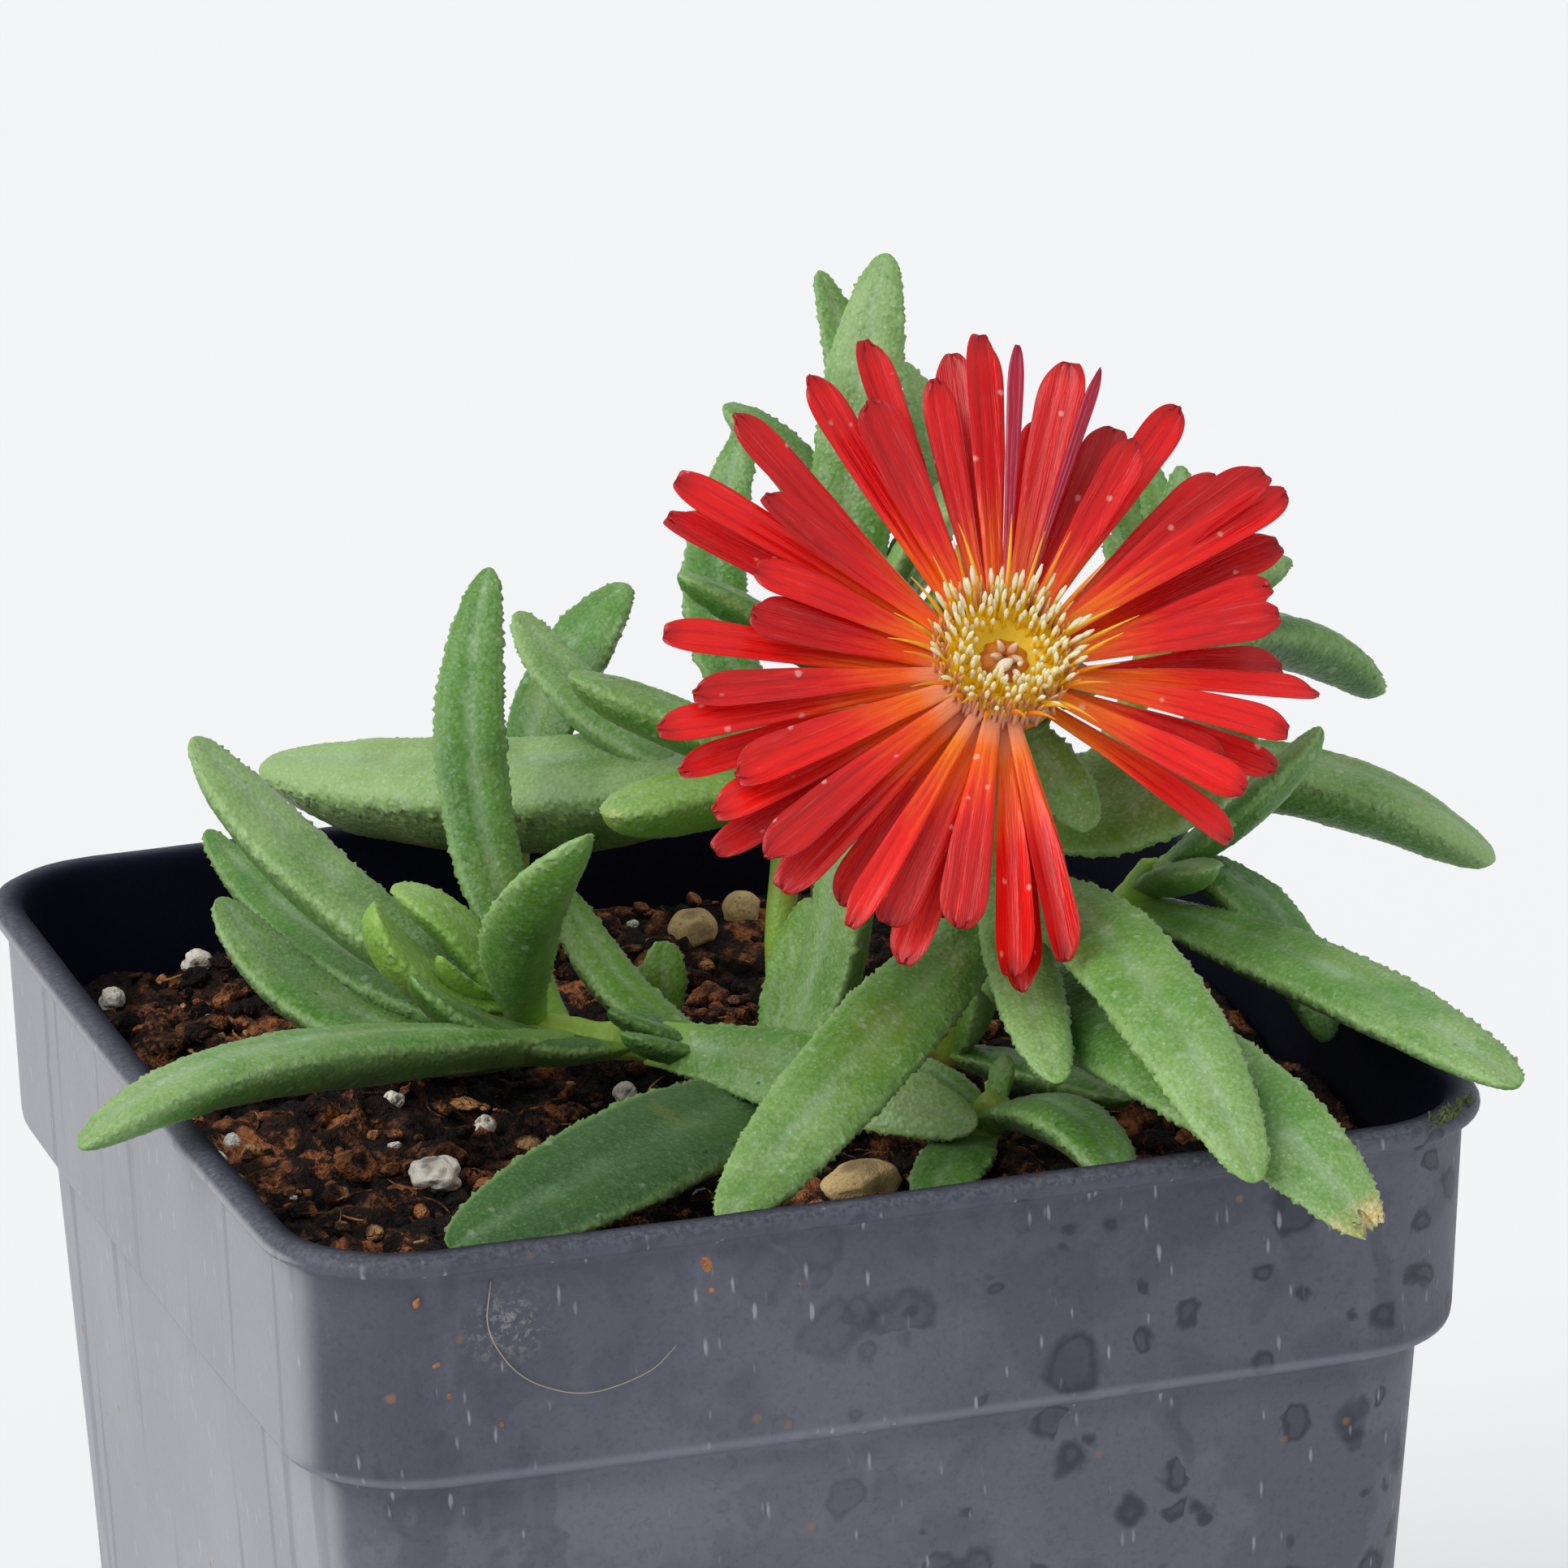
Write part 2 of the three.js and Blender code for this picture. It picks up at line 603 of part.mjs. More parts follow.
// Loose stones half sunk in the soil: place and height of the middle over the soil, size, turn and seed.
const perliteStones = [
  [[-25.3, -12.2, 0.6], 4.2, 3.6, 3.2, 20, 3],
  [[-35.8, 36.4, 0.4], 2.4, 2.1, 2.0, 70, 5],
  [[-28.4, 39, 0.4], 2.8, 2.2, 2.2, 10, 7],
  [[-38, 0.3, 0.3], 1.8, 1.6, 1.5, 40, 9],
  [[-17.7, 0.3, 0.3], 1.9, 1.7, 1.6, 80, 13],
  [[-5.6, 4.4, 0.3], 2.1, 1.8, 1.7, 55, 15],
  [[-22.8, 6.3, 0.3], 1.8, 1.7, 1.5, 30, 17],
];
const gritStones = [
  [[3.7, -21.5, 0.5], 6.2, 4.4, 3.2, 15, 21],
  [[-3, -27, 0.3], 6.0, 4.2, 2.2, -10, 25],
  [[8.4, 31, 0.8], 4.2, 3.6, 3.4, 35, 23],
  [[13.4, 34, 0.8], 3.6, 3.2, 3.2, 60, 27],
];

// Bits of bark: small flat chips sunk into the soil's surface, thrown by a seeded rule over the open stretches.
function barkBits() {
  const random = seeded(29);
  const bits = [];
  const count = 26;
  while (bits.length < count) {
    const x = -38 + 72 * random();
    const y = -38 + 76 * random();
    const size = 1.8 + 2.4 * random();
    const bit = new THREE.BoxGeometry(size, 0.55 * size, 1.5);
    bit.rotateX(rad(24 * (random() - 0.5)));
    bit.rotateY(rad(24 * (random() - 0.5)));
    bit.rotateZ(2 * Math.PI * random());
    bit.translate(x, y, soilHeight(x, y) - 0.1);
    const clearOf = ([cx, cy], reach) => Math.hypot(x - cx, y - cy) > reach;
    const openSoil = [...perliteStones, ...gritStones].every(([at, length]) => clearOf(at, 0.5 * length + 3));
    if (openSoil && clearOf([14, -4], 16)) bits.push(solid(bit));
  }
  return bits;
}

function soil() {
  const filled = joined([soilBlock(), ...barkBits()]);
  const pockets = [...perliteStones, ...gritStones].map((values) => stone(...values, clearance + 0.1));
  const holes = Object.values(shoots).map(stemHole);
  return filled.subtract(joined([...pockets, ...holes]));
}

const materials = {
  pot: { color: 0x4b4f5a, roughness: 0.55, metalness: 0 },
  soil: { color: 0x2c1c14, roughness: 0.95, metalness: 0 },
  leaf: { color: 0x6f9a5c, roughness: 0.6, metalness: 0 },
  petal: { color: 0xd01722, roughness: 0.45, metalness: 0 },
  stamen: { color: 0xf5b52a, roughness: 0.6, metalness: 0 },
  ovary: { color: 0xb4661c, roughness: 0.6, metalness: 0 },
  perlite: { color: 0xe2ddcf, roughness: 0.9, metalness: 0 },
  grit: { color: 0xc2a373, roughness: 0.85, metalness: 0 },
};

function mesh(name, shape, material) {
  const { vertProperties, triVerts } = shape.getMesh();
  const geometry = new THREE.BufferGeometry();
  geometry.setAttribute("position", new THREE.BufferAttribute(vertProperties, 3));
  geometry.setIndex(new THREE.BufferAttribute(triVerts, 1));
  geometry.computeVertexNormals();
  const made = new THREE.Mesh(geometry, new THREE.MeshStandardMaterial(materials[material]));
  made.name = name;
  return made;
}

const plant = new THREE.Group();
plant.add(mesh("pot", pot(), "pot"));
plant.add(mesh("soil", soil(), "soil"));
perliteStones.forEach((values, i) => plant.add(mesh(`perlite_${i + 1}`, stone(...values, 0), "perlite")));
gritStones.forEach((values, i) => plant.add(mesh(`grit_${i + 1}`, stone(...values, 0), "grit")));
Object.entries(shoots).forEach(([name, parts]) => {
  const grown = name === "flower_shoot" ? shoot(parts).add(receptacle()) : shoot(parts);
  plant.add(mesh(name, grown, "leaf"));
});
plant.add(mesh("petals", corolla(), "petal"));
plant.add(mesh("stamens", stamens(), "stamen"));
plant.add(mesh("ovary", ovary(), "ovary"));

export default plant;
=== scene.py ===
"""A flowering ice plant in a square nursery pot: the finish of every piece, the light and the camera.

Metres, +Z up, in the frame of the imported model. Rows of leaves, petals and stones are in millimetres and
degrees, and are turned into metres where they are used.
"""

import math

import bpy
import numpy as np
from bpy.props import FloatProperty, FloatVectorProperty, IntProperty, PointerProperty
from bpy.types import Operator, Panel, PropertyGroup
from mathutils import Matrix, Vector


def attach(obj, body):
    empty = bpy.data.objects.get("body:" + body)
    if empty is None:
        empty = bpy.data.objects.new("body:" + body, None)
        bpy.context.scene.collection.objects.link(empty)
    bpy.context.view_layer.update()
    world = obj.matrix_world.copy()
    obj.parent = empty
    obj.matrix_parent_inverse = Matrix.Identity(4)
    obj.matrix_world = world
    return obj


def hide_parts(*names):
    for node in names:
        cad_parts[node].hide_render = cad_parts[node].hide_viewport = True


bl_info = {
    "name": "Potted Ice Plant",
    "version": (1, 0, 0),
    "blender": (4, 5, 0),
    "location": "View3D > Sidebar > Ice Plant",
    "description": "Dresses the packed model of a potted ice plant, piece by piece",
    "category": "Add Mesh",
}

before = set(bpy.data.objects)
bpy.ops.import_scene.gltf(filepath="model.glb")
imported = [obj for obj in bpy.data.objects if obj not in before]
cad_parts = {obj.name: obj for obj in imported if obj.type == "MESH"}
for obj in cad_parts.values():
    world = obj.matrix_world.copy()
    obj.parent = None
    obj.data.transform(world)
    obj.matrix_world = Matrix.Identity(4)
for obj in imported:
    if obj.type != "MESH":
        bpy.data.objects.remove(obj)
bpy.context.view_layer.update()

MM = 0.001


def srgb(red, green, blue):
    """A colour given as 0 to 255 on a screen, as linear light."""
    screen = np.array([red, green, blue]) / 255
    linear = np.where(screen <= 0.04045, screen / 12.92, ((screen + 0.055) / 1.055) ** 2.4)
    return tuple(float(part) for part in linear)


def length_setting(name, description, metres):
    return FloatProperty(name=name, description=description, default=metres, unit="LENGTH", precision=5)


def colour_setting(name, description, red, green, blue):
    return FloatVectorProperty(
        name=name, description=description, default=srgb(red, green, blue), subtype="COLOR", min=0, max=1
    )


def angle_setting(name, description, degrees):
    return FloatProperty(
        name=name, description=description, default=math.radians(degrees), subtype="ANGLE", unit="ROTATION"
    )


class PotSettings(PropertyGroup):
    """Half widths are measured from the middle of the pot to the flat of a side."""

    height: length_setting("Height", "From the foot to the top of the lip", 0.088)
    lip_half: length_setting("Lip", "Half width over the lip", 0.045)
    band_top_half: length_setting("Band top", "Half width at the top of the rim band", 0.0438)
    band_foot_half: length_setting("Band foot", "Half width at the foot of the rim band", 0.0433)
    body_top_half: length_setting("Body top", "Half width under the rim band", 0.0412)
    body_foot_half: length_setting("Body foot", "Half width at the foot", 0.037)
    band_foot_height: length_setting("Band height", "Height of the step under the rim band", 0.0703)
    lip_drop: length_setting("Lip drop", "Height of the lip", 0.0017)
    wall: length_setting("Wall", "Thickness of the sides", 0.0012)
    floor_thickness: length_setting("Floor", "Thickness of the floor", 0.0016)
    corner_radius: length_setting("Corner", "Radius of the upright corners", 0.009)
    side_bow: length_setting("Bow", "How far the middle of a side stands out", 0.00035)
    drain_radius: length_setting("Drain hole", "Radius of the holes in the floor", 0.0032)
    drain_offset: length_setting("Drain place", "From the middle of the floor to a drain hole", 0.023)
    plastic: colour_setting("Plastic", "Outside of the pot", 79, 81, 94)
    dust: colour_setting("Dust", "Dried dust on the outside", 130, 132, 144)
    # Painted shade: the inside of the pot is painted nearly black.
    shade: colour_setting("Inside", "Clean plastic inside the pot", 0, 2, 30)


class SoilSettings(PropertyGroup):
    """The potting mix and what lies in it."""

    level: length_setting("Level", "Mean height of the surface", 0.0794)
    clearance: length_setting("Clearance", "Gap to the pot's wall and floor", 0.0003)
    crumbs: IntProperty(name="Crumbs", description="How many loose crumbs lie on it", default=1500, min=0)
    fibres: IntProperty(name="Fibres", description="How many loose fibres lie on it", default=300, min=0)
    clods: IntProperty(name="Clods", description="How many rough clods lie on it", default=150, min=0)
    peat: colour_setting("Peat", "Damp, dark parts", 22, 11, 8)
    bark: colour_setting("Bark", "Reddish bark bits", 190, 118, 72)
    straw: colour_setting("Straw", "Palest fibres and chips", 236, 192, 132)
    perlite: colour_setting("Perlite", "White puffed stones", 255, 252, 242)
    grit: colour_setting("Grit", "Tan stones", 228, 196, 140)


class LeafSettings(PropertyGroup):
    """Stems and leaves, and the pimples that cover the leaves."""

    stem_radius: length_setting("Stem foot", "Radius of a stem at the soil", 0.00135)
    stem_tip: length_setting("Stem tip", "Radius of a stem at its end", 0.00105)
    pimple_spacing: length_setting("Net", "Distance between neighbouring points of a leaf's skin", 0.0003)
    pimple_height: length_setting("Pimples", "How far a pimple stands out", 0.0001)
    dark: colour_setting("Dark", "Shaded, glossy leaf", 36, 88, 14)
    fresh: colour_setting("Fresh", "Middle green", 82, 136, 40)
    pale: colour_setting("Pale", "Lit, powdery leaf", 148, 182, 112)
    young: colour_setting("Young", "Youngest leaves and leaf bases", 142, 186, 62)
    bark: colour_setting("Old stem", "Older stretches of stem", 158, 112, 64)


class FlowerSettings(PropertyGroup):
    """Place and colours of the bloom. The seat is the top of the green cup that holds it."""

    seat: FloatVectorProperty(
        name="Seat",
        description="Top of the green cup",
        default=(0.017, -0.0135, 0.1135),
        subtype="TRANSLATION",
        unit="LENGTH",
    )
    rise: angle_setting("Rise", "How steeply the bloom looks up", 48)
    heading: angle_setting("Heading", "Where the bloom looks, seen from above", 265)
    petal_root: length_setting("Petal root", "Distance of a petal's base from the axis", 0.004)
    layer_step: length_setting("Layer step", "Height between one layer of petals and the next", 0.00085)
    petal_thickness: length_setting("Petal thickness", "Thickness of a petal", 0.00032)
    red: colour_setting("Red", "Body of the petals", 228, 2, 5)
    deep: colour_setting("Deep red", "Tips and shaded folds", 164, 4, 14)
    orange: colour_setting("Orange", "Base of the petals", 255, 100, 6)
    # Painted sheen: the pink on the raised ridges stands for their satin highlights.
    pink: colour_setting("Pink", "Bloom on the raised ridges", 250, 104, 100)
    yellow: colour_setting("Yellow", "Filaments", 255, 210, 12)
    cream: colour_setting("Cream", "Pollen sacs", 255, 248, 210)
    blush: colour_setting("Blush", "Pale bases of the outer filaments", 240, 172, 140)
    seed_vessel: colour_setting("Seed vessel", "Top of the seed vessel", 228, 142, 30)


class StageSettings(PropertyGroup):
    """The camera stands at distance from a point over the middle of the pot's rim, and looks at it."""

    yaw: angle_setting("Yaw", "Turn of the camera round the pot", -18.6)
    pitch: angle_setting("Pitch", "Height of the camera over the level", 18.8)
    roll: angle_setting("Roll", "Tilt of the picture", -0.6)
    distance: length_setting("Distance", "From the camera to the aimed point", 0.787)
    aim_right: length_setting("Aim right", "Aimed point to the right of the rim's middle", 0.005)
    aim_up: length_setting("Aim up", "Aimed point above the rim's middle", 0.0148)
    lens: FloatProperty(name="Lens", description="Focal length", default=247.96, unit="CAMERA")
    floor: colour_setting("Floor", "Pale floor", 251, 252, 253)
    sky: FloatProperty(name="Room light", description="Strength of the white room", default=0.58, min=0)
    key: FloatProperty(
        name="Window light", description="Strength of the light from above", default=1.75, min=0
    )
    key_spread: angle_setting("Window size", "Angle over which the window light comes", 50)


class PlantSettings(PropertyGroup):
    """All settings of the potted plant."""

    pot: PointerProperty(type=PotSettings)
    soil: PointerProperty(type=SoilSettings)
    leaf: PointerProperty(type=LeafSettings)
    flower: PointerProperty(type=FlowerSettings)
    stage: PointerProperty(type=StageSettings)


# Surfaces: points, faces and values worked out as whole arrays.


class Shell:
    """Points, faces and named values of one closed surface, or of several put together."""

    def __init__(self, points, faces):
        self.points = points
        self.faces = faces
        self.values = {}

    def marked(self, **values):
        """The shell itself with named values: one number for all its points, or one for each."""
        self.values = {name: np.broadcast_to(value, len(self.points)) for name, value in values.items()}
        return self


def running_total(steps):
    """The sum of the steps before each one, and of all of them at the end."""
    return np.concatenate([[0], np.cumsum(steps)])


def distances_along(line):
    """How far along a line each of its points lies."""
    return running_total(np.linalg.norm(np.diff(line, axis=0), axis=1))


def even_angles(count):
    """The angles of a full turn in even steps."""
    return 2 * math.pi * np.arange(count) / count


def uneven(seed, mean, swing, cell):
    """The shape of a lump: its reach in each direction, by smooth noise."""
    return lambda way: mean + swing * lattice_noise(way, cell, seed)


def put_together(shells):
    """Several shells as one, with 0 for a value that one of them lacks."""
    names = sorted({name for shell in shells for name in shell.values})
    counts = [len(shell.points) for shell in shells]
    starts = running_total(counts)[:-1]
    faces = [face + start for shell, start in zip(shells, starts) for face in shell.faces]
    values = {
        name: np.concatenate(
            [shell.values.get(name, np.zeros(count)) for shell, count in zip(shells, counts)]
        )
        for name in names
    }
    return Shell(np.concatenate([shell.points for shell in shells]), faces).marked(**values)


def make_piece(name, shell, material):
    """A smooth-shaded object at the origin from a shell, with the shell's values as point attributes."""
    mesh = bpy.data.meshes.new(name)
    mesh.vertices.add(len(shell.points))
    mesh.vertices.foreach_set("co", shell.points.astype(np.float32).ravel())
    corners = np.concatenate([face.ravel() for face in shell.faces])
    sizes = np.concatenate([np.full(len(face), face.shape[1]) for face in shell.faces])
    mesh.loops.add(len(corners))
    mesh.loops.foreach_set("vertex_index", corners.astype(np.int32))
    mesh.polygons.add(len(sizes))
    starts = running_total(sizes)[:-1]
    mesh.polygons.foreach_set("loop_start", starts.astype(np.int32))
    mesh.polygons.foreach_set("use_smooth", np.ones(len(sizes), bool))
    mesh.update(calc_edges=True)
    for value_name, value in shell.values.items():
        layer = mesh.attributes.new(value_name, "FLOAT", "POINT")
        layer.data.foreach_set("value", value.astype(np.float32))
    mesh.materials.append(material)
    piece = bpy.data.objects.new(name, mesh)
    bpy.context.scene.collection.objects.link(piece)
    return piece


def seat_piece(piece, slot, *nodes):
    """The piece rides on the plant's one body and stands for the CAD nodes named."""
    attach(piece, "root")
    if nodes:
        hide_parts(*nodes)


def tube_faces(rows, columns, staggered=False):
    """Faces of a tube of rows of points, then a fan over each end, to the two points that follow the rows.

    The points of a row run counterclockwise round the way the rows go, so the faces look outwards. In a
    staggered tube each row is turned by half a column against the one before, and the faces are triangles.
    """
    row, column = np.meshgrid(np.arange(rows - 1), np.arange(columns), indexing="ij")
    here = (row * columns + column).ravel()
    beside = (row * columns + (column + 1) % columns).ravel()
    if staggered:
        lower = np.stack([here, beside, here + columns], -1)
        upper = np.stack([beside, beside + columns, here + columns], -1)
        sides = [lower, upper]
    else:
        sides = [np.stack([here, beside, beside + columns, here + columns], -1)]
    around = np.arange(columns)
    ahead = (around + 1) % columns
    last_row = (rows - 1) * columns
    start = np.full(columns, rows * columns)
    first_fan = np.stack([start, ahead, around], -1)
    last_fan = np.stack([start + 1, last_row + around, last_row + ahead], -1)
    return sides + [first_fan, last_fan]


def smooth_step(value, low, high):
    """0 below low and 1 above high, with the curve 3t² − 2t³ between."""
    share = np.clip((value - low) / (high - low), 0, 1)
    return share * share * (3 - 2 * share)


def lattice_noise(points, cell, seed):
    """Smooth noise from −1 to 1: a scrambled value at each corner of a lattice, blended along each axis."""
    scaled = points / cell
    corner = np.floor(scaled).astype(np.int64)
    share = scaled - corner
    share = share * share * (3 - 2 * share)
    total = np.zeros(len(points))
    for step in np.ndindex(2, 2, 2):
        x, y, z = (corner + np.array(step)).T
        key = (x * 73856093) ^ (y * 19349663) ^ (z * 83492791) ^ (seed * 97531)
        key = ((key ^ (key >> 13)) * 1274126177) & 0x7FFFFFFF
        value = ((key ^ (key >> 15)) & 0xFFFF) / 32767.5 - 1
        weight = np.prod(np.where(step, share, 1 - share), axis=1)
        total += value * weight
    return total


def layered_noise(points, cell, layers, seed):
    """Lattice noise with finer and finer layers, each half as strong as the one before."""
    return sum(
        lattice_noise(points, cell / 2**layer, seed + layer) / 2**layer for layer in range(layers)
    )


def rounded_line(corners, reach, steps):
    """A line of straight stretches with every inner corner rounded.

    Each corner c becomes the curve (1−t)²·a + 2t(1−t)·c + t²·b, where a and b lie on its two stretches at
    the reach from it, or at 45% of the stretch where that is shorter.
    """
    corners = np.asarray(corners, float)
    t = np.linspace(0, 1, steps)[:, None]
    line = [corners[:1]]
    for before, corner, after in zip(corners, corners[1:], corners[2:]):
        back, ahead = before - corner, after - corner
        start = corner + back * min(reach / np.linalg.norm(back), 0.45)
        end = corner + ahead * min(reach / np.linalg.norm(ahead), 0.45)
        line.append((1 - t) ** 2 * start + 2 * t * (1 - t) * corner + t**2 * end)
    line.append(corners[-1:])
    return np.concatenate(line)


def turn_about(axis, degrees):
    return np.array(Matrix.Rotation(math.radians(degrees), 3, Vector(axis)))


# Shader nodes.


def put(tree, kind, settings=None, **inputs):
    """Adds a node. An input is a value, or the socket of another node, by its name with _ for a space."""
    node = tree.nodes.new(kind)
    for key, value in (settings or {}).items():
        setattr(node, key, value)
    return fill_named(tree, node, inputs)


def fill_named(tree, node, inputs):
    """The node with its inputs connected by their names, each with _ for a space."""
    for key, value in inputs.items():
        connect(tree, value, node.inputs[key.replace("_", " ")])
    return node


def connect(tree, value, socket):
    """Links a socket to the input, or sets the input to a plain value or colour."""
    if isinstance(value, bpy.types.NodeSocket):
        tree.links.new(value, socket)
    elif hasattr(value, "__len__") and len(value) == 3 and socket.type == "RGBA":
        socket.default_value = (*value, 1)
    else:
        socket.default_value = value


def fill(tree, node, *values):
    """The node with its inputs connected to the values in their order."""
    for socket, value in zip(node.inputs, values):
        connect(tree, value, socket)
    return node


def calculate(tree, operation, first, second=0.0, third=0.0):
    node = put(tree, "ShaderNodeMath", {"operation": operation})
    return fill(tree, node, first, second, third).outputs[0]


def times(tree, first, second):
    return calculate(tree, "MULTIPLY", first, second)


def times_plus(tree, value, factor, added):
    return calculate(tree, "MULTIPLY_ADD", value, factor, added)


def colour_mix(tree, factor, first, second, mode="MIX"):
    """The first colour where the factor is 0 and the second, or the mode's blend, where it is 1."""
    node = tree.nodes.new("ShaderNodeMix")
    node.data_type = "RGBA"
    node.blend_type = mode
    node.clamp_factor = True
    connect(tree, factor, node.inputs[0])
    connect(tree, first, node.inputs[6])
    connect(tree, second, node.inputs[7])
    return node.outputs[2]


def between(tree, value, low, high, start=0.0, end=1.0):
    """start where the value is under low and end where it is over high, with a smooth step between."""
    node = put(tree, "ShaderNodeMapRange", {"interpolation_type": "SMOOTHSTEP"})
    return fill(tree, node, value, low, high, start, end).outputs[0]


def attribute(tree, name):
    return put(tree, "ShaderNodeAttribute", {"attribute_name": name}).outputs["Fac"]


def object_place(tree):
    return put(tree, "ShaderNodeTexCoord").outputs["Object"]


def stretched(tree, vector, scale):
    """The vector with each axis times its own number, so that a pattern becomes streaks."""
    return put(tree, "ShaderNodeMapping", Vector=vector, Scale=scale).outputs[0]


def noise(tree, vector, scale, detail=2.0, roughness=0.5):
    return put(
        tree, "ShaderNodeTexNoise", Vector=vector, Scale=scale, Detail=detail, Roughness=roughness
    ).outputs["Fac"]


def new_group(name, inputs, outputs):
    """An empty shader node group with float or vector sockets. inputs holds (name, kind, default)."""
    group = bpy.data.node_groups.new(name, "ShaderNodeTree")
    for socket_name, kind, default in inputs:
        socket = group.interface.new_socket(socket_name, in_out="INPUT", socket_type=kind)
        if default is not None:
            socket.default_value = default
    for socket_name in outputs:
        group.interface.new_socket(socket_name, in_out="OUTPUT", socket_type="NodeSocketFloat")
    return group, group.nodes.new("NodeGroupInput"), group.nodes.new("NodeGroupOutput")


def mottle_group():
    """Broad patches, fine grain and both together, from 0 to 1, for natural colour and uneven height."""
    group, given, made = new_group(
        "mottle",
        [
            ("Vector", "NodeSocketVector", None),
            ("Patch Scale", "NodeSocketFloat", 200.0),
            ("Grain Scale", "NodeSocketFloat", 2000.0),
        ],
        ["Patches", "Grain", "Both"],
    )
    patches = noise(group, given.outputs["Vector"], given.outputs["Patch Scale"], 3.0, 0.55)
    grain = noise(group, given.outputs["Vector"], given.outputs["Grain Scale"], 2.0, 0.6)
    wide_patches = between(group, patches, 0.32, 0.68)
    wide_grain = between(group, grain, 0.3, 0.7)
    both = times_plus(group, wide_grain, 0.4, times(group, wide_patches, 0.6))
    for name, value in (("Patches", wide_patches), ("Grain", wide_grain), ("Both", both)):
        connect(group, value, made.inputs[name])
    return group


def spots_group():
    """Scattered round spots with soft edges: a share of the cells of a Voronoi pattern holds one each.

    Spot is the mask of the discs, and Rim the mask of a thin line round them.
    """
    group, given, made = new_group(
        "spots",
        [
            ("Vector", "NodeSocketVector", None),
            ("Scale", "NodeSocketFloat", 300.0),
            ("Size", "NodeSocketFloat", 0.3),
            ("Share", "NodeSocketFloat", 0.3),
        ],
        ["Spot", "Rim"],
    )
    cells = put(group, "ShaderNodeTexVoronoi", Vector=given.outputs["Vector"], Scale=given.outputs["Scale"])
    parts = put(group, "ShaderNodeSeparateColor", Color=cells.outputs["Color"])
    held = calculate(group, "LESS_THAN", parts.outputs[0], given.outputs["Share"])
    ragged = noise(group, given.outputs["Vector"], times(group, given.outputs["Scale"], 4.0))
    reach = times_plus(group, ragged, 0.18, cells.outputs["Distance"])
    varied = calculate(group, "ADD", parts.outputs[1], 0.55)
    size = times(group, given.outputs["Size"], varied)
    disc = between(group, calculate(group, "SUBTRACT", size, reach), -0.16, -0.02)
    inner = between(group, calculate(group, "SUBTRACT", size, reach), -0.02, 0.06)
    rim = calculate(group, "SUBTRACT", disc, inner)
    connect(group, times(group, disc, held), made.inputs["Spot"])
    connect(group, times(group, rim, held), made.inputs["Rim"])
    return group


def grouped(tree, make, **inputs):
    """Places a shader node group in a material, and builds it the first time it is asked for."""
    name = make.__name__.removesuffix("_group")
    node = tree.nodes.new("ShaderNodeGroup")
    node.node_tree = bpy.data.node_groups.get(name) or make()
    return fill_named(tree, node, inputs).outputs


def mottled(tree, place, patch_scale, grain_scale):
    return grouped(tree, mottle_group, Vector=place, Patch_Scale=patch_scale, Grain_Scale=grain_scale)


def spotted(tree, place, scale, size, share):
    return grouped(tree, spots_group, Vector=place, Scale=scale, Size=size, Share=share)


def new_material(name):
    """An empty material: its tree, and its Principled shader joined to the output."""
    material = bpy.data.materials.new(name)
    material.use_nodes = True
    tree = material.node_tree
    tree.nodes.clear()
    shader = tree.nodes.new("ShaderNodeBsdfPrincipled")
    output = tree.nodes.new("ShaderNodeOutputMaterial")
    tree.links.new(shader.outputs[0], output.inputs["Surface"])
    return material, tree, shader


def finish_shader(tree, shader, height=None, distance=0.0, strength=1.0, **inputs):
    """Sets the shader's inputs, and a Bump node from a height where one is given."""
    fill_named(tree, shader, inputs)
    if height is not None:
        bump = put(tree, "ShaderNodeBump", Height=height, Distance=distance, Strength=strength)
        tree.links.new(bump.outputs[0], shader.inputs["Normal"])


# Pot.

SIDE_STEPS = 18
ARC_STEPS = 12

# How far the walls wander and the lip's grain sinks, in metres, and where the fluff by the hair lies.
WALL_WANDER = 0.00007
LIP_GRAIN = 0.00008
FLUFF_PLACE = (-0.0298, -0.044, 0.0818)
FLUFF_REACH = 0.0042


def square_rings(half, corner, height, bow):
    """Rounded squares, one for each half width, corner radius and height, counterclockwise from above.

    A side runs along y = t·(half − corner) for t from −1 to 1 at x = half + bow·(1 − t²). A corner is the arc
    of its radius from 0 to 90 degrees. The four quarters are the first one turned.
    """
    half, corner = half[:, None], corner[:, None]
    t = np.linspace(-1, 1, SIDE_STEPS, endpoint=False)[None, :]
    angle = np.linspace(0, math.pi / 2, ARC_STEPS, endpoint=False)[None, :]
    x = np.hstack([half + bow * (1 - t**2), half - corner + corner * np.cos(angle)])
    y = np.hstack([t * (half - corner), half - corner + corner * np.sin(angle)])
    quarters = [(x, y), (-y, x), (-x, -y), (y, -x)]
    flat = np.concatenate([np.stack(quarter, -1) for quarter in quarters], axis=1)
    level = np.broadcast_to(height[:, None, None], (*flat.shape[:2], 1))
    return np.concatenate([flat, level], -1)


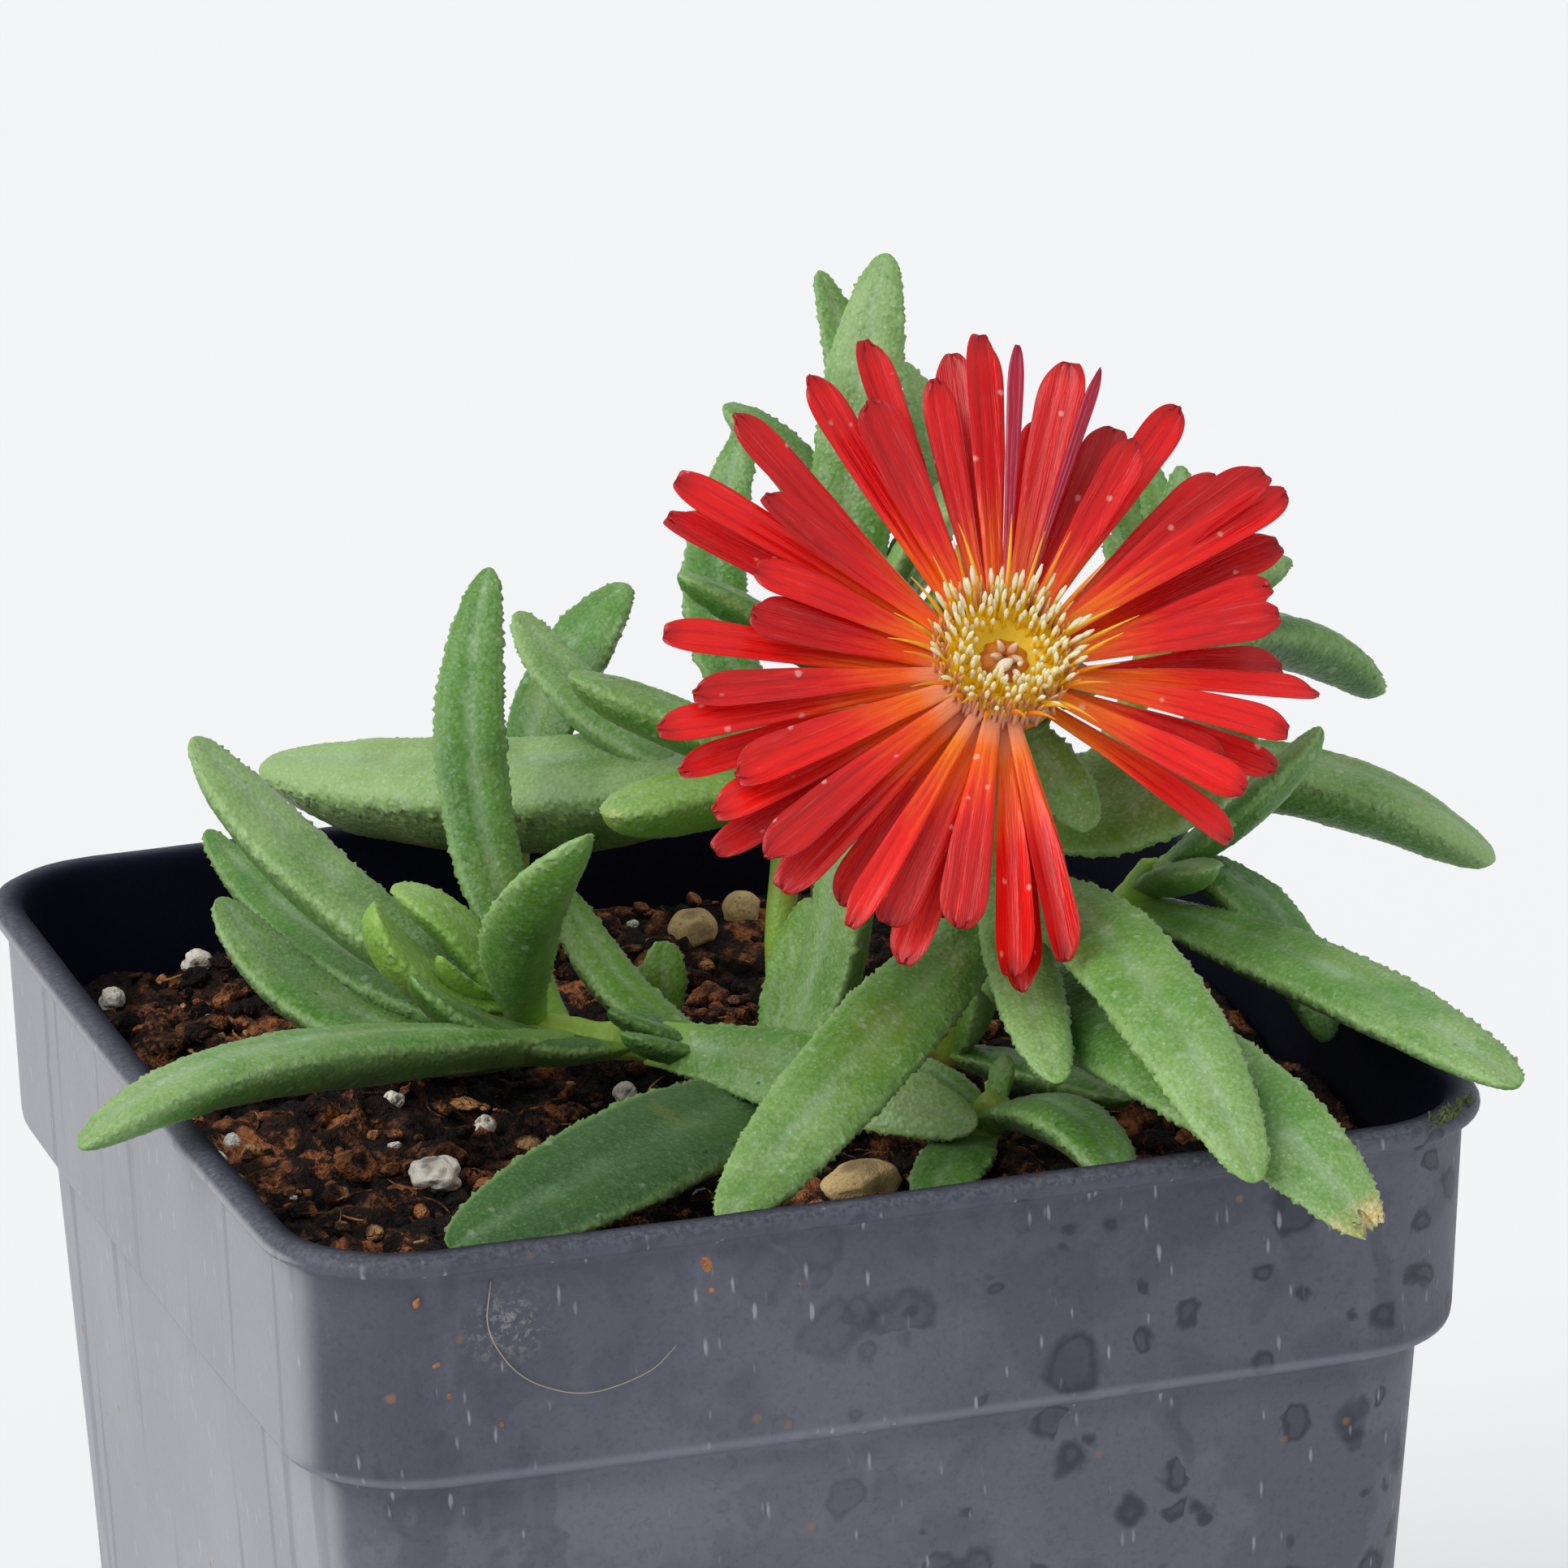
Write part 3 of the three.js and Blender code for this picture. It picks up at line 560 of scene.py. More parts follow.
def pot_shell(pot):
    """The pot: its section, as half width, corner radius and height, carried round the rounded square.

    The section runs from the middle of the underside up the outside, over the lip and down to the middle of
    the floor inside, with its corners rounded. The walls wander by a tenth of a millimetre.
    """
    wall, corner = pot.wall, pot.corner_radius
    band, rim = pot.band_foot_height, pot.height
    section = np.array(
        [
            [0.001, 0.0002, 0],
            [pot.body_foot_half - 0.8 * MM, corner - 2.2 * MM, 0],
            [pot.body_foot_half, corner - 1.6 * MM, 0.9 * MM],
            [pot.body_top_half, corner - 0.8 * MM, band - 1.1 * MM],
            [pot.body_top_half + 0.7 * MM, corner - 0.4 * MM, band - 0.5 * MM],
            [pot.band_foot_half - 0.3 * MM, corner, band],
            [pot.band_foot_half, corner, band + 0.8 * MM],
            [pot.band_top_half, corner, rim - pot.lip_drop],
            [pot.lip_half - 0.2 * MM, corner + 0.6 * MM, rim - pot.lip_drop + 0.2 * MM],
            [pot.lip_half, corner + 0.8 * MM, rim - 0.8 * MM],
            [pot.lip_half - 0.5 * MM, corner + 0.6 * MM, rim],
            [pot.band_top_half - wall + 0.4 * MM, corner - 0.6 * MM, rim],
            [pot.band_top_half - wall, corner - 0.8 * MM, rim - 0.6 * MM],
            [pot.band_foot_half - wall, corner - 1.0 * MM, band + 0.6 * MM],
            [pot.body_top_half - wall, corner - 2.0 * MM, band - 1.2 * MM],
            [pot.body_foot_half - wall, corner - 2.8 * MM, pot.floor_thickness],
            [0.001, 0.0002, pot.floor_thickness],
        ]
    )
    inner_start = 11
    line = rounded_line(section, 0.7 * MM, 6)
    longest = 2.5 * MM
    fine = [line[:1]]
    for start, end in zip(line, line[1:]):
        pieces = max(1, math.ceil(np.linalg.norm(end - start) / longest))
        fine.append(start + (end - start) * (np.arange(1, pieces + 1) / pieces)[:, None])
    fine = np.concatenate(fine)
    half, corner_radius, height = fine.T
    bow = pot.side_bow * np.clip(half / pot.body_foot_half, 0, 1)[:, None]
    rings = square_rings(half, corner_radius, height, bow)
    rows, columns = rings.shape[:2]
    points = rings.reshape(-1, 3)
    lip_length = np.linalg.norm(np.diff(section[:inner_start], axis=0), axis=1).sum()
    travelled = distances_along(fine)
    inside = smooth_step(np.repeat(travelled, columns), lip_length - 1.0 * MM, lip_length + 1.5 * MM)
    outwards = points * np.array([1, 1, 0])
    outwards /= np.maximum(np.linalg.norm(outwards, axis=1), 1e-6)[:, None]
    on_wall = smooth_step(np.hypot(points[:, 0], points[:, 1]), 0.030, 0.034)[:, None]
    wander = layered_noise(points * np.array([1, 1, 0.6]), 16 * MM, 2, 5)[:, None]
    points = points + outwards * wander * on_wall * WALL_WANDER
    on_lip = smooth_step(points[:, 2], pot.height - 0.5 * MM, pot.height)
    points[:, 2] += on_lip * (LIP_GRAIN * lattice_noise(points, 1.1 * MM, 8) - LIP_GRAIN)
    poles = np.array([[0, 0, 0], [0, 0, pot.floor_thickness]])
    shell = Shell(np.concatenate([points, poles]), tube_faces(rows, columns))
    return shell.marked(inside=np.append(inside, [0, 1]))


def cut_drain_holes(piece, pot):
    """Cuts four round holes through the floor with a Boolean that is applied at once."""
    cutters = []
    for quarter in range(4):
        depth = 8 * pot.floor_thickness
        bpy.ops.mesh.primitive_cylinder_add(vertices=36, radius=pot.drain_radius, depth=depth)
        cutter = bpy.context.active_object
        turn = quarter * math.pi / 2
        cutter.location = (pot.drain_offset * math.cos(turn), pot.drain_offset * math.sin(turn), 0)
        cutters.append(cutter)
        cut = piece.modifiers.new(f"drain_{quarter}", "BOOLEAN")
        cut.object = cutter
        cut.operation = "DIFFERENCE"
        cut.solver = "EXACT"
    bpy.context.view_layer.update()
    shown = piece.evaluated_get(bpy.context.evaluated_depsgraph_get())
    opened = bpy.data.meshes.new_from_object(shown)
    piece.modifiers.clear()
    piece.data = opened
    for cutter in cutters:
        bpy.data.objects.remove(cutter)


def pot_material(pot):
    """Scuffed grey plastic: dust, dried water spots and drips, white dashes, upright scratches, a painted
    highlight.

    The side to the left is painted paler, as a painted reflection of the bright room, with faint upright
    grooves, and there is fluff round the hair's top.
    The painted highlight is a pale line round the foot of the band. The lip is grainy, and the inside is
    painted nearly black, as painted shade.
    """
    material, tree, shader = new_material("pot_plastic")
    place = object_place(tree)
    parts = put(tree, "ShaderNodeSeparateXYZ", Vector=place).outputs
    mottle = mottled(tree, place, 70.0, 2600.0)
    cloudy = noise(tree, place, 28.0, 4.0, 0.6)
    dusty = times_plus(tree, mottle["Both"], 0.16, between(tree, cloudy, 0.4, 0.75, 0.0, 0.35))
    on_body = between(tree, parts["Z"], pot.band_foot_height - 4 * MM, pot.band_foot_height, 0.26, 0.0)
    skin = colour_mix(tree, calculate(tree, "ADD", dusty, on_body), pot.plastic, pot.dust)
    normal = put(tree, "ShaderNodeNewGeometry").outputs["Normal"]
    faces = put(tree, "ShaderNodeSeparateXYZ", Vector=normal).outputs
    in_front = between(tree, faces["Y"], -0.9, -0.2, 1.0, 0.25)
    to_right = times(tree, in_front, between(tree, parts["X"], -0.02, 0.02, 0.1, 1.0))
    to_right = times(tree, to_right, between(tree, parts["Z"], 0.03, 0.06, 0.4, 1.0))
    bent = put(tree, "ShaderNodeVectorMath", {"operation": "MULTIPLY_ADD"})
    warp = put(tree, "ShaderNodeTexNoise", Vector=place, Scale=260.0, Detail=2.0).outputs["Color"]
    ragged = fill(tree, bent, warp, (0.0035, 0.0035, 0.0035), place).outputs[0]
    for scale, size, share, dark in ((170.0, 0.3, 0.42, 0.5), (330.0, 0.3, 0.4, 0.45)):
        wet = spotted(tree, ragged, scale, size, share)
        wet_spot = times(tree, wet["Spot"], times(tree, to_right, dark))
        skin = colour_mix(tree, wet_spot, skin, srgb(46, 49, 62))
        wet_rim = times(tree, wet["Rim"], times(tree, to_right, 0.5))
        skin = colour_mix(tree, wet_rim, skin, srgb(36, 39, 52))
    speckle = noise(tree, place, 1600.0, 4.0, 0.75)
    skin = colour_mix(tree, between(tree, speckle, 0.34, 0.5, 0.2, 0.0), skin, srgb(48, 50, 62))
    scuffs = noise(tree, ragged, 70.0, 3.0, 0.6)
    skin = colour_mix(tree, between(tree, scuffs, 0.5, 0.56, 0.0, 0.22), skin, srgb(54, 56, 68))
    runs = noise(tree, stretched(tree, ragged, (1.0, 1.0, 0.35)), 90.0, 3.0, 0.55)
    skin = colour_mix(tree, between(tree, runs, 0.6, 0.63, 0.0, 0.3), skin, srgb(58, 60, 72))
    on_left = between(tree, faces["X"], -0.98, -0.8, 1.0, 0.0)
    # Painted reflection: the left face is painted paler, as it catches the bright room at a grazing angle.
    skin = colour_mix(tree, times(tree, on_left, 0.62), skin, srgb(176, 176, 182))
    grooves = noise(tree, stretched(tree, place, (1.0, 1.0, 0.03)), 420.0, 2.0, 0.5)
    grooves = times(tree, on_left, between(tree, grooves, 0.56, 0.68, 0.0, 0.35))
    skin = colour_mix(tree, grooves, skin, srgb(92, 94, 104))
    away = put(tree, "ShaderNodeVectorMath", {"operation": "DISTANCE"})
    away = fill(tree, away, place, FLUFF_PLACE).outputs["Value"]
    fluff = between(tree, away, 0.0, FLUFF_REACH, 0.5, 0.0)
    fluff = times(tree, fluff, between(tree, noise(tree, place, 1300.0, 5.0, 0.8), 0.5, 0.6))
    skin = colour_mix(tree, fluff, skin, srgb(176, 172, 168))
    drips = noise(tree, stretched(tree, place, (1.0, 1.0, 0.12)), 260.0, 3.0, 0.6)
    skin = colour_mix(tree, between(tree, drips, 0.6, 0.78, 0.0, 0.2), skin, srgb(140, 143, 152))
    tilted = put(tree, "ShaderNodeMapping", Vector=place, Rotation=(0.05, 0.06, 0.0)).outputs[0]
    dashes = spotted(tree, stretched(tree, tilted, (1.0, 1.0, 0.22)), 900.0, 0.09, 1.0)
    skin = colour_mix(tree, times(tree, dashes["Spot"], 0.5), skin, srgb(186, 188, 196))
    brown = spotted(tree, place, 420.0, 0.1, 0.1)
    skin = colour_mix(tree, times(tree, brown["Spot"], 0.6), skin, srgb(150, 112, 80))
    # Painted highlight: a pale line along the ledge at the foot of the band, where the edge catches the
    # light.
    band_foot = pot.band_foot_height
    highlight_from = between(tree, parts["Z"], band_foot - 0.9 * MM, band_foot - 0.2 * MM)
    highlight_to = between(tree, parts["Z"], band_foot + 0.4 * MM, band_foot + 1.0 * MM, 1.0, 0.0)
    ledge_highlight = times(tree, highlight_from, highlight_to)
    skin = colour_mix(tree, times(tree, ledge_highlight, 0.35), skin, srgb(150, 153, 166))
    lip_top = between(tree, parts["Z"], pot.height - 1.0 * MM, pot.height - 0.3 * MM)
    lip_colour = colour_mix(tree, mottle["Grain"], srgb(56, 59, 70), srgb(98, 102, 112))
    skin = colour_mix(tree, times(tree, lip_top, 0.6), skin, lip_colour)
    inside = attribute(tree, "inside")
    # Painted shade: the inside of the pot is painted nearly black.
    skin = colour_mix(tree, inside, skin, pot.shade)
    scratches = noise(tree, stretched(tree, place, (1.0, 1.0, 0.02)), 1400.0, 2.0, 0.5)
    height = times_plus(tree, scratches, 0.5, mottle["Grain"])
    gloss = times_plus(tree, mottle["Both"], 0.16, times_plus(tree, inside, 0.35, 0.42))
    finish_shader(
        tree,
        shader,
        height,
        0.00005,
        0.3,
        Base_Color=skin,
        Roughness=gloss,
        IOR=1.49,
        Specular_IOR_Level=0.25,
    )
    return material


# Marks on the pot, in millimetres: the bends of a pale hair on the band, specks of soil as place and size,
# and the two ends of the moss on the lip.
HAIR = [
    (-30.9, -43.95, 85.4), (-31.4, -43.95, 81.7), (-28.9, -43.95, 77.8), (-24.3, -44.0, 75.9),
    (-19.5, -44.1, 77.1), (-17.7, -44.15, 78.9),
]
SPECKS = [
    (-36.2, -43.8, 84.4, 0.34), (-15.4, -44.0, 84.6, 0.5), (-15.0, -43.95, 82.6, 0.3),
    (-8.5, -43.95, 82.2, 0.36), (-34.8, -43.6, 79.6, 0.26), (-33.9, -43.55, 77.2, 0.24),
    (-30.2, -43.6, 74.6, 0.2),
]
MOSS_START = (38.6, -44.0, 87.7)
MOSS_END = (42.6, -40.4, 87.7)


def mark_shells():
    """What clings to the pot: a pale hair, specks of soil, and a tuft of moss on the lip at the right."""
    random = np.random.default_rng(41)
    hair = rounded_line(np.array(HAIR) * MM, 4 * MM, 12)
    shells = [strand_shell(hair, np.linspace(0.05, 0.03, len(hair)) * MM, 5).marked(brown=0)]
    for x, y, z, size in SPECKS:
        seed = int(random.integers(1000))
        shell = lump_shell(
            np.array([x, y, z]) * MM,
            np.array([size, 0.35 * size, size * random.uniform(0.7, 1.5)]) * MM,
            turn_about((0, 1, 0), random.uniform(0, 180)),
            6,
            10,
            uneven(seed, 0.85, 0.35, 0.9),
        )
        shells.append(shell.marked(brown=1))
    for _ in range(90):
        share = random.uniform()
        foot = (np.array(MOSS_START) * (1 - share) + np.array(MOSS_END) * share) * MM
        foot = foot + random.uniform(-0.5, 0.5, 3) * MM * np.array([1, 1, 0])
        lean = random.uniform(-0.5, 0.5, 3) * MM + np.array([0, 0, random.uniform(0.1, 0.5)]) * MM
        line = np.stack([foot, foot + 0.6 * lean, foot + lean])
        shells.append(strand_shell(line, np.array([0.09, 0.08, 0.03]) * MM, 5).marked(moss=1))
    return shells


def mark_material():
    """Pale hair, brown specks and dull green moss, by the shells' values."""
    material, tree, shader = new_material("pot_marks")
    mottle = mottled(tree, object_place(tree), 1500.0, 6000.0)
    brown = colour_mix(tree, mottle["Both"], srgb(120, 74, 44), srgb(190, 130, 84))
    moss = colour_mix(tree, mottle["Both"], srgb(58, 74, 34), srgb(112, 124, 62))
    colour = colour_mix(tree, attribute(tree, "brown"), srgb(176, 166, 152), brown)
    colour = colour_mix(tree, attribute(tree, "moss"), colour, moss)
    finish_shader(tree, shader, Base_Color=colour, Roughness=0.8)
    return material


class ICEPLANT_OT_pot(Operator):
    """Build the square pot with its lip, rim band and drain holes, and the marks on it"""

    bl_idname = "ice_plant.pot"
    bl_label = "Pot"

    def execute(self, context):
        pot = context.scene.ice_plant.pot
        piece = make_piece("pot_shell", pot_shell(pot), pot_material(pot))
        cut_drain_holes(piece, pot)
        seat_piece(piece, "pot_plastic", "pot")
        marks = make_piece("pot_marks", put_together(mark_shells()), mark_material())
        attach(marks, "root")
        return {"FINISHED"}


# Soil and stones.

# Stones: place and height of the middle over the soil, length, breadth, height, turn and seed.
PERLITE = [
    [(-25.3, -12.2, 0.6), 4.2, 3.6, 3.2, 20, 3],
    [(-35.8, 36.4, 0.4), 2.4, 2.1, 2.0, 70, 5],
    [(-28.4, 39, 0.4), 2.8, 2.2, 2.2, 10, 7],
    [(-38, 0.3, 0.3), 1.8, 1.6, 1.5, 40, 9],
    [(-17.7, 0.3, 0.3), 1.9, 1.7, 1.6, 80, 13],
    [(-5.6, 4.4, 0.3), 2.1, 1.8, 1.7, 55, 15],
    [(-22.8, 6.3, 0.3), 1.8, 1.7, 1.5, 30, 17],
]
GRIT = [
    [(3.7, -21.5, 0.5), 6.2, 4.4, 3.2, 15, 21],
    [(-3, -27, 0.3), 6.0, 4.2, 2.2, -10, 25],
    [(8.4, 31, 0.8), 4.2, 3.6, 3.4, 35, 23],
    [(13.4, 34, 0.8), 3.6, 3.2, 3.2, 60, 27],
]


def soil_height(x, y, level):
    """Height of the soil in metres: its level and four crossing swells. x and y are in millimetres."""
    swells = (
        0.5 * np.sin(0.21 * x + 0.4)
        + 0.4 * np.sin(0.27 * y - 1.1)
        + 0.3 * np.sin(0.33 * x - 0.29 * y + 2.0)
        + 0.25 * np.sin(0.47 * x + 0.41 * y)
    )
    return level + swells * MM


def soil_shell(soil, pot):
    """The potting mix: rounded squares up the pot's inside, then shrinking ones over the lumpy surface.

    The surface is the four swells with four layers of finer noise, of which the valleys are sharpest.
    """
    gap = pot.wall + soil.clearance
    edge_half = pot.band_foot_half - gap + 0.2 * MM
    corner = pot.corner_radius
    up_the_side = np.array(
        [
            [2 * MM, 0.5 * MM, pot.floor_thickness + soil.clearance],
            [pot.body_foot_half - gap, corner - 3.1 * MM, pot.floor_thickness + soil.clearance],
            [pot.body_top_half - gap, corner - 2.3 * MM, pot.band_foot_height - 1.2 * MM],
            [pot.band_foot_half - gap, corner - 1.3 * MM, pot.band_foot_height + 0.8 * MM],
        ]
    )
    shrinks = np.linspace(1, 0.01, 92)
    over_the_top = np.stack(
        [edge_half * shrinks, (corner - 1.3 * MM) * shrinks, np.full(len(shrinks), soil.level)], -1
    )
    half, corner_radius, height = np.concatenate([up_the_side, over_the_top]).T
    rings = square_rings(half, corner_radius, height, 0.0)
    for _ in range(2):
        halfway = 0.5 * (rings + np.roll(rings, -1, axis=1))
        rings = np.stack([rings, halfway], 2).reshape(len(rings), -1, 3)
    rows, columns = rings.shape[:2]
    foot = pot.floor_thickness + soil.clearance
    points = np.concatenate([rings.reshape(-1, 3), [[0, 0, foot], [0, 0, soil.level]]])
    top = np.arange(len(points)) >= len(up_the_side) * columns
    top[-2] = False
    x, y = points[:, 0] / MM, points[:, 1] / MM
    flat = points * np.array([1, 1, 0])
    lumps = layered_noise(flat, 5.0 * MM, 4, 31)
    crumbs = 1 - np.abs(layered_noise(flat, 2.1 * MM, 3, 47))
    inner = smooth_step(edge_half - np.maximum(np.abs(points[:, 0]), np.abs(points[:, 1])), 0, 2 * MM)
    fine = (0.9 * lumps + 1.4 * (crumbs - 0.6)) * MM * (0.35 + 0.65 * inner)
    points[top, 2] = (soil_height(x, y, soil.level) + fine)[top]
    # How high a point stands among the lumps and crumbs: low points get the painted shade of the hollows.
    depth = np.clip(0.5 + 0.55 * lumps + 0.5 * (crumbs - 0.6), 0, 1)
    tone = 0.5 + 0.5 * lattice_noise(flat, 2.6 * MM, 61)
    shell = Shell(points, tube_faces(rows, columns))
    return shell.marked(depth=np.where(top, depth, 0.2), tone=np.clip(tone * 0.55, 0, 1))


def lump_shell(centre, radii, turn, rows, columns, shape):
    """A closed lump: a sphere of the three radii, whose distance from the middle is times shape(directions).

    Its points lie at polar angle πi/(rows+1) and turn 2πj/columns. turn is a 3 by 3 rotation.
    """
    polar, around = np.meshgrid(
        math.pi * (1 - np.arange(1, rows + 1) / (rows + 1)),
        even_angles(columns),
        indexing="ij",
    )
    directions = np.stack(
        [np.sin(polar) * np.cos(around), np.sin(polar) * np.sin(around), np.cos(polar)], -1
    ).reshape(-1, 3)
    directions = np.concatenate([directions, [[0, 0, -1], [0, 0, 1]]])
    points = directions * np.asarray(radii) * shape(directions)[:, None]
    return Shell(points @ turn.T + centre, tube_faces(rows, columns))


# How far from a stone's middle the crumbs and the skins of the clods stay, and the largest crumb, in
# millimetres.
CRUMB_CLEARANCE = 2.6
CLOD_CLEARANCE = 2.4
LARGEST_CRUMB = 1.5


def thrown_turn(random, tilt):
    """Any turn about the upright after a tilt of up to so many degrees either way."""
    return turn_about((0, 0, 1), random.uniform(0, 360)) @ turn_about((1, 0, 0), random.uniform(-tilt, tilt))


def crumb_shells(soil, half):
    """Loose crumbs and chips on the soil, thrown by a seeded rule, flattened and turned every way."""
    random = np.random.default_rng(29)
    stones = np.array([row[0][:2] for row in PERLITE + GRIT])
    shells = []
    while len(shells) < soil.crumbs:
        x, y = random.uniform(-half, half, 2) / MM
        size = random.gamma(2.2, 0.26) + 0.22
        slim, flat = random.uniform(0.35, 0.9), random.uniform(0.25, 0.7)
        turn = thrown_turn(random, 50)
        kind = random.uniform()
        seed = int(random.integers(1000))
        if np.hypot(*(stones - (x, y)).T).min() < CRUMB_CLEARANCE:
            continue
        size = min(size, LARGEST_CRUMB)
        z = soil_height(x, y, soil.level) + random.uniform(-0.1, 0.55) * MM
        shell = lump_shell(
            (x * MM, y * MM, z),
            np.array([size, size * slim, size * flat]) * MM,
            turn,
            4,
            7,
            uneven(seed, 0.85, 0.38, 0.9),
        )
        tone = 1.3 if kind > 0.975 else min(0.95, (kind / 0.975) ** 1.6)
        shells.append(shell.marked(tone=tone, depth=0.55 + 0.4 * random.uniform()))
    return shells


def clod_shells(soil, half):
    """Rough clods half sunk in the soil: lumps pushed in and out by four layers of noise."""
    random = np.random.default_rng(53)
    stones = np.array([row[0][:2] for row in PERLITE + GRIT])
    shells = []
    while len(shells) < soil.clods:
        x, y = random.uniform(-half, half, 2) / MM
        size = random.uniform(0.7, 2.1)
        slim, flat = random.uniform(0.6, 0.95), random.uniform(0.45, 0.8)
        turn = thrown_turn(random, 30)
        seed = int(random.integers(1000))
        near_stone = np.hypot(*(stones - (x, y)).T).min() < CLOD_CLEARANCE + size
        if near_stone or max(abs(x), abs(y)) + size > half / MM:
            continue
        centre = (x * MM, y * MM, soil_height(x, y, soil.level) + 0.1 * size * MM)
        radii = np.array([size, size * slim, size * flat]) * MM
        shell = lump_shell(
            centre,
            radii,
            turn,
            16,
            26,
            lambda way, seed=seed: 0.9 + 0.3 * layered_noise(way + seed, 0.8, 4, seed),
        )
        # Low on the clod's dents, for the painted shade there.
        away = np.linalg.norm((shell.points - np.array(centre)) / radii.mean(), axis=1)
        depth = np.clip(0.2 + 0.9 * (away - 0.55), 0, 1)
        shells.append(shell.marked(tone=random.uniform(0.0, 0.55), depth=depth))
    return shells


def strand_shell(points, radii, columns):
    """A round strand through a line of points: rings square to the line, each of its own radius."""
    points = np.asarray(points, float)
    along = np.gradient(points, axis=0)
    along /= np.linalg.norm(along, axis=1)[:, None]
    helper = np.array([0.31, 0.23, 0.92])
    side = np.cross(helper, along)
    side /= np.linalg.norm(side, axis=1)[:, None]
    other = np.cross(along, side)
    angle = even_angles(columns)
    ring = np.cos(angle)[None, :, None] * side[:, None] + np.sin(angle)[None, :, None] * other[:, None]
    rings = points[:, None] + ring * np.asarray(radii)[:, None, None]
    skin = np.concatenate([rings.reshape(-1, 3), points[:1], points[-1:]])
    return Shell(skin, tube_faces(len(points), columns))


def fibre_shells(soil, half):
    """Loose fibres: short bent strands that lie on the soil with their ends up or down a little."""
    random = np.random.default_rng(37)
    shells = []
    for _ in range(soil.fibres):
        x, y = random.uniform(-half, half, 2)
        heading = random.uniform(0, 2 * math.pi)
        length = random.uniform(1.2, 4.2) * MM
        bend = random.uniform(-1.2, 1.2)
        t = np.linspace(-0.5, 0.5, 6)
        way = heading + bend * t
        px = np.clip(x + length * t * np.cos(way), -half, half)
        py = np.clip(y + length * t * np.sin(way), -half, half)
        lift = random.uniform(0.0, 0.7) + random.uniform(-0.9, 0.9) * t
        pz = soil_height(px / MM, py / MM, soil.level) + lift * MM
        thick = random.uniform(0.04, 0.13) * MM
        shell = strand_shell(np.stack([px, py, pz], -1), thick * np.sqrt(1.05 - (2 * t) ** 2), 5)
        shells.append(shell.marked(tone=random.uniform(0.2, 1.0), depth=0.9))
    return shells


def soil_material(soil):
    """Damp peat, bark and fibres: painted near black in the hollows as painted shade, reddish and straw
    coloured on the crumbs.
    """
    material, tree, shader = new_material("potting_mix")
    place = object_place(tree)
    mottle = mottled(tree, place, 480.0, 2600.0)
    tone = attribute(tree, "tone")
    depth = attribute(tree, "depth")
    ruddy = times_plus(tree, mottle["Both"], 0.7, calculate(tree, "SUBTRACT", tone, 0.25))
    colour = colour_mix(tree, between(tree, ruddy, 0.25, 0.8), soil.peat, soil.bark)
    colour = colour_mix(tree, between(tree, ruddy, 0.75, 1.25, 0.0, 0.75), colour, soil.straw)
    damp = between(tree, noise(tree, place, 240.0, 3.0, 0.6), 0.44, 0.54, 0.85, 0.0)
    colour = colour_mix(tree, damp, colour, srgb(26, 15, 11))
    # Painted shade: near black where the depth value is low, in the hollows and dents.
    colour = colour_mix(tree, between(tree, depth, 0.25, 0.75, 0.85, 0.0), colour, srgb(12, 8, 7))
    colour = colour_mix(tree, between(tree, tone, 1.1, 1.25), colour, soil.perlite)
    height = calculate(tree, "ADD", mottle["Grain"], mottle["Patches"])
    rough = between(tree, mottle["Grain"], 0.0, 1.0, 0.7, 1.0)
    finish_shader(
        tree, shader, height, 0.0003, 0.9, Base_Color=colour, Roughness=rough, Specular_IOR_Level=0.3
    )
    return material


def stone_shell(row, level, angular):
    """A rough stone: a lump cut by random flat planes where it is angular, and pitted by noise where not."""
    at, length, breadth, height, turn, seed = row
    random = np.random.default_rng(seed)
    planes = random.normal(size=(14, 3))
    planes /= np.linalg.norm(planes, axis=1)[:, None]
    offsets = random.uniform(0.78, 1.0, 14)

    def shape(directions):
        facing = np.maximum(directions @ planes.T, 0.05)
        facets = np.minimum((offsets / facing).min(axis=1), 1.02)
        pits = np.minimum(lattice_noise(directions + seed, 0.42, seed) + 0.25, 0)
        rough = layered_noise(directions + seed, 0.5, 4, seed)
        if angular:
            return facets + 0.035 * rough
        return 0.95 * facets + 0.09 * rough + 0.28 * pits

    x, y, up = at
    centre = (x * MM, y * MM, soil_height(x, y, level) + up * MM)
    radii = 0.5 * np.array([length, breadth, height]) * MM
    shell = lump_shell(centre, radii, turn_about((0, 0, 1), turn), 44, 72, shape)
    away = (shell.points - np.array(centre)) / radii.mean()
    return shell.marked(hollow=np.clip(1.1 - np.linalg.norm(away, axis=1), 0, 1))


def stone_material(name, pale, dark):
    """Stone with darker grains, and darker and browner in its hollows."""
    material, tree, shader = new_material(name)
    place = object_place(tree)
    mottle = mottled(tree, place, 650.0, 5200.0)
    spots = spotted(tree, place, 2400.0, 0.22, 0.35)
    colour = colour_mix(tree, times(tree, mottle["Both"], 0.5), pale, dark)
    colour = colour_mix(tree, times(tree, spots["Spot"], 0.55), colour, dark)
    hollow = between(tree, attribute(tree, "hollow"), 0.2, 0.42, 0.0, 0.7)
    colour = colour_mix(tree, hollow, colour, srgb(84, 62, 44))
    finish_shader(tree, shader, mottle["Both"], 0.00012, 0.7, Base_Color=colour, Roughness=0.9)
    return material


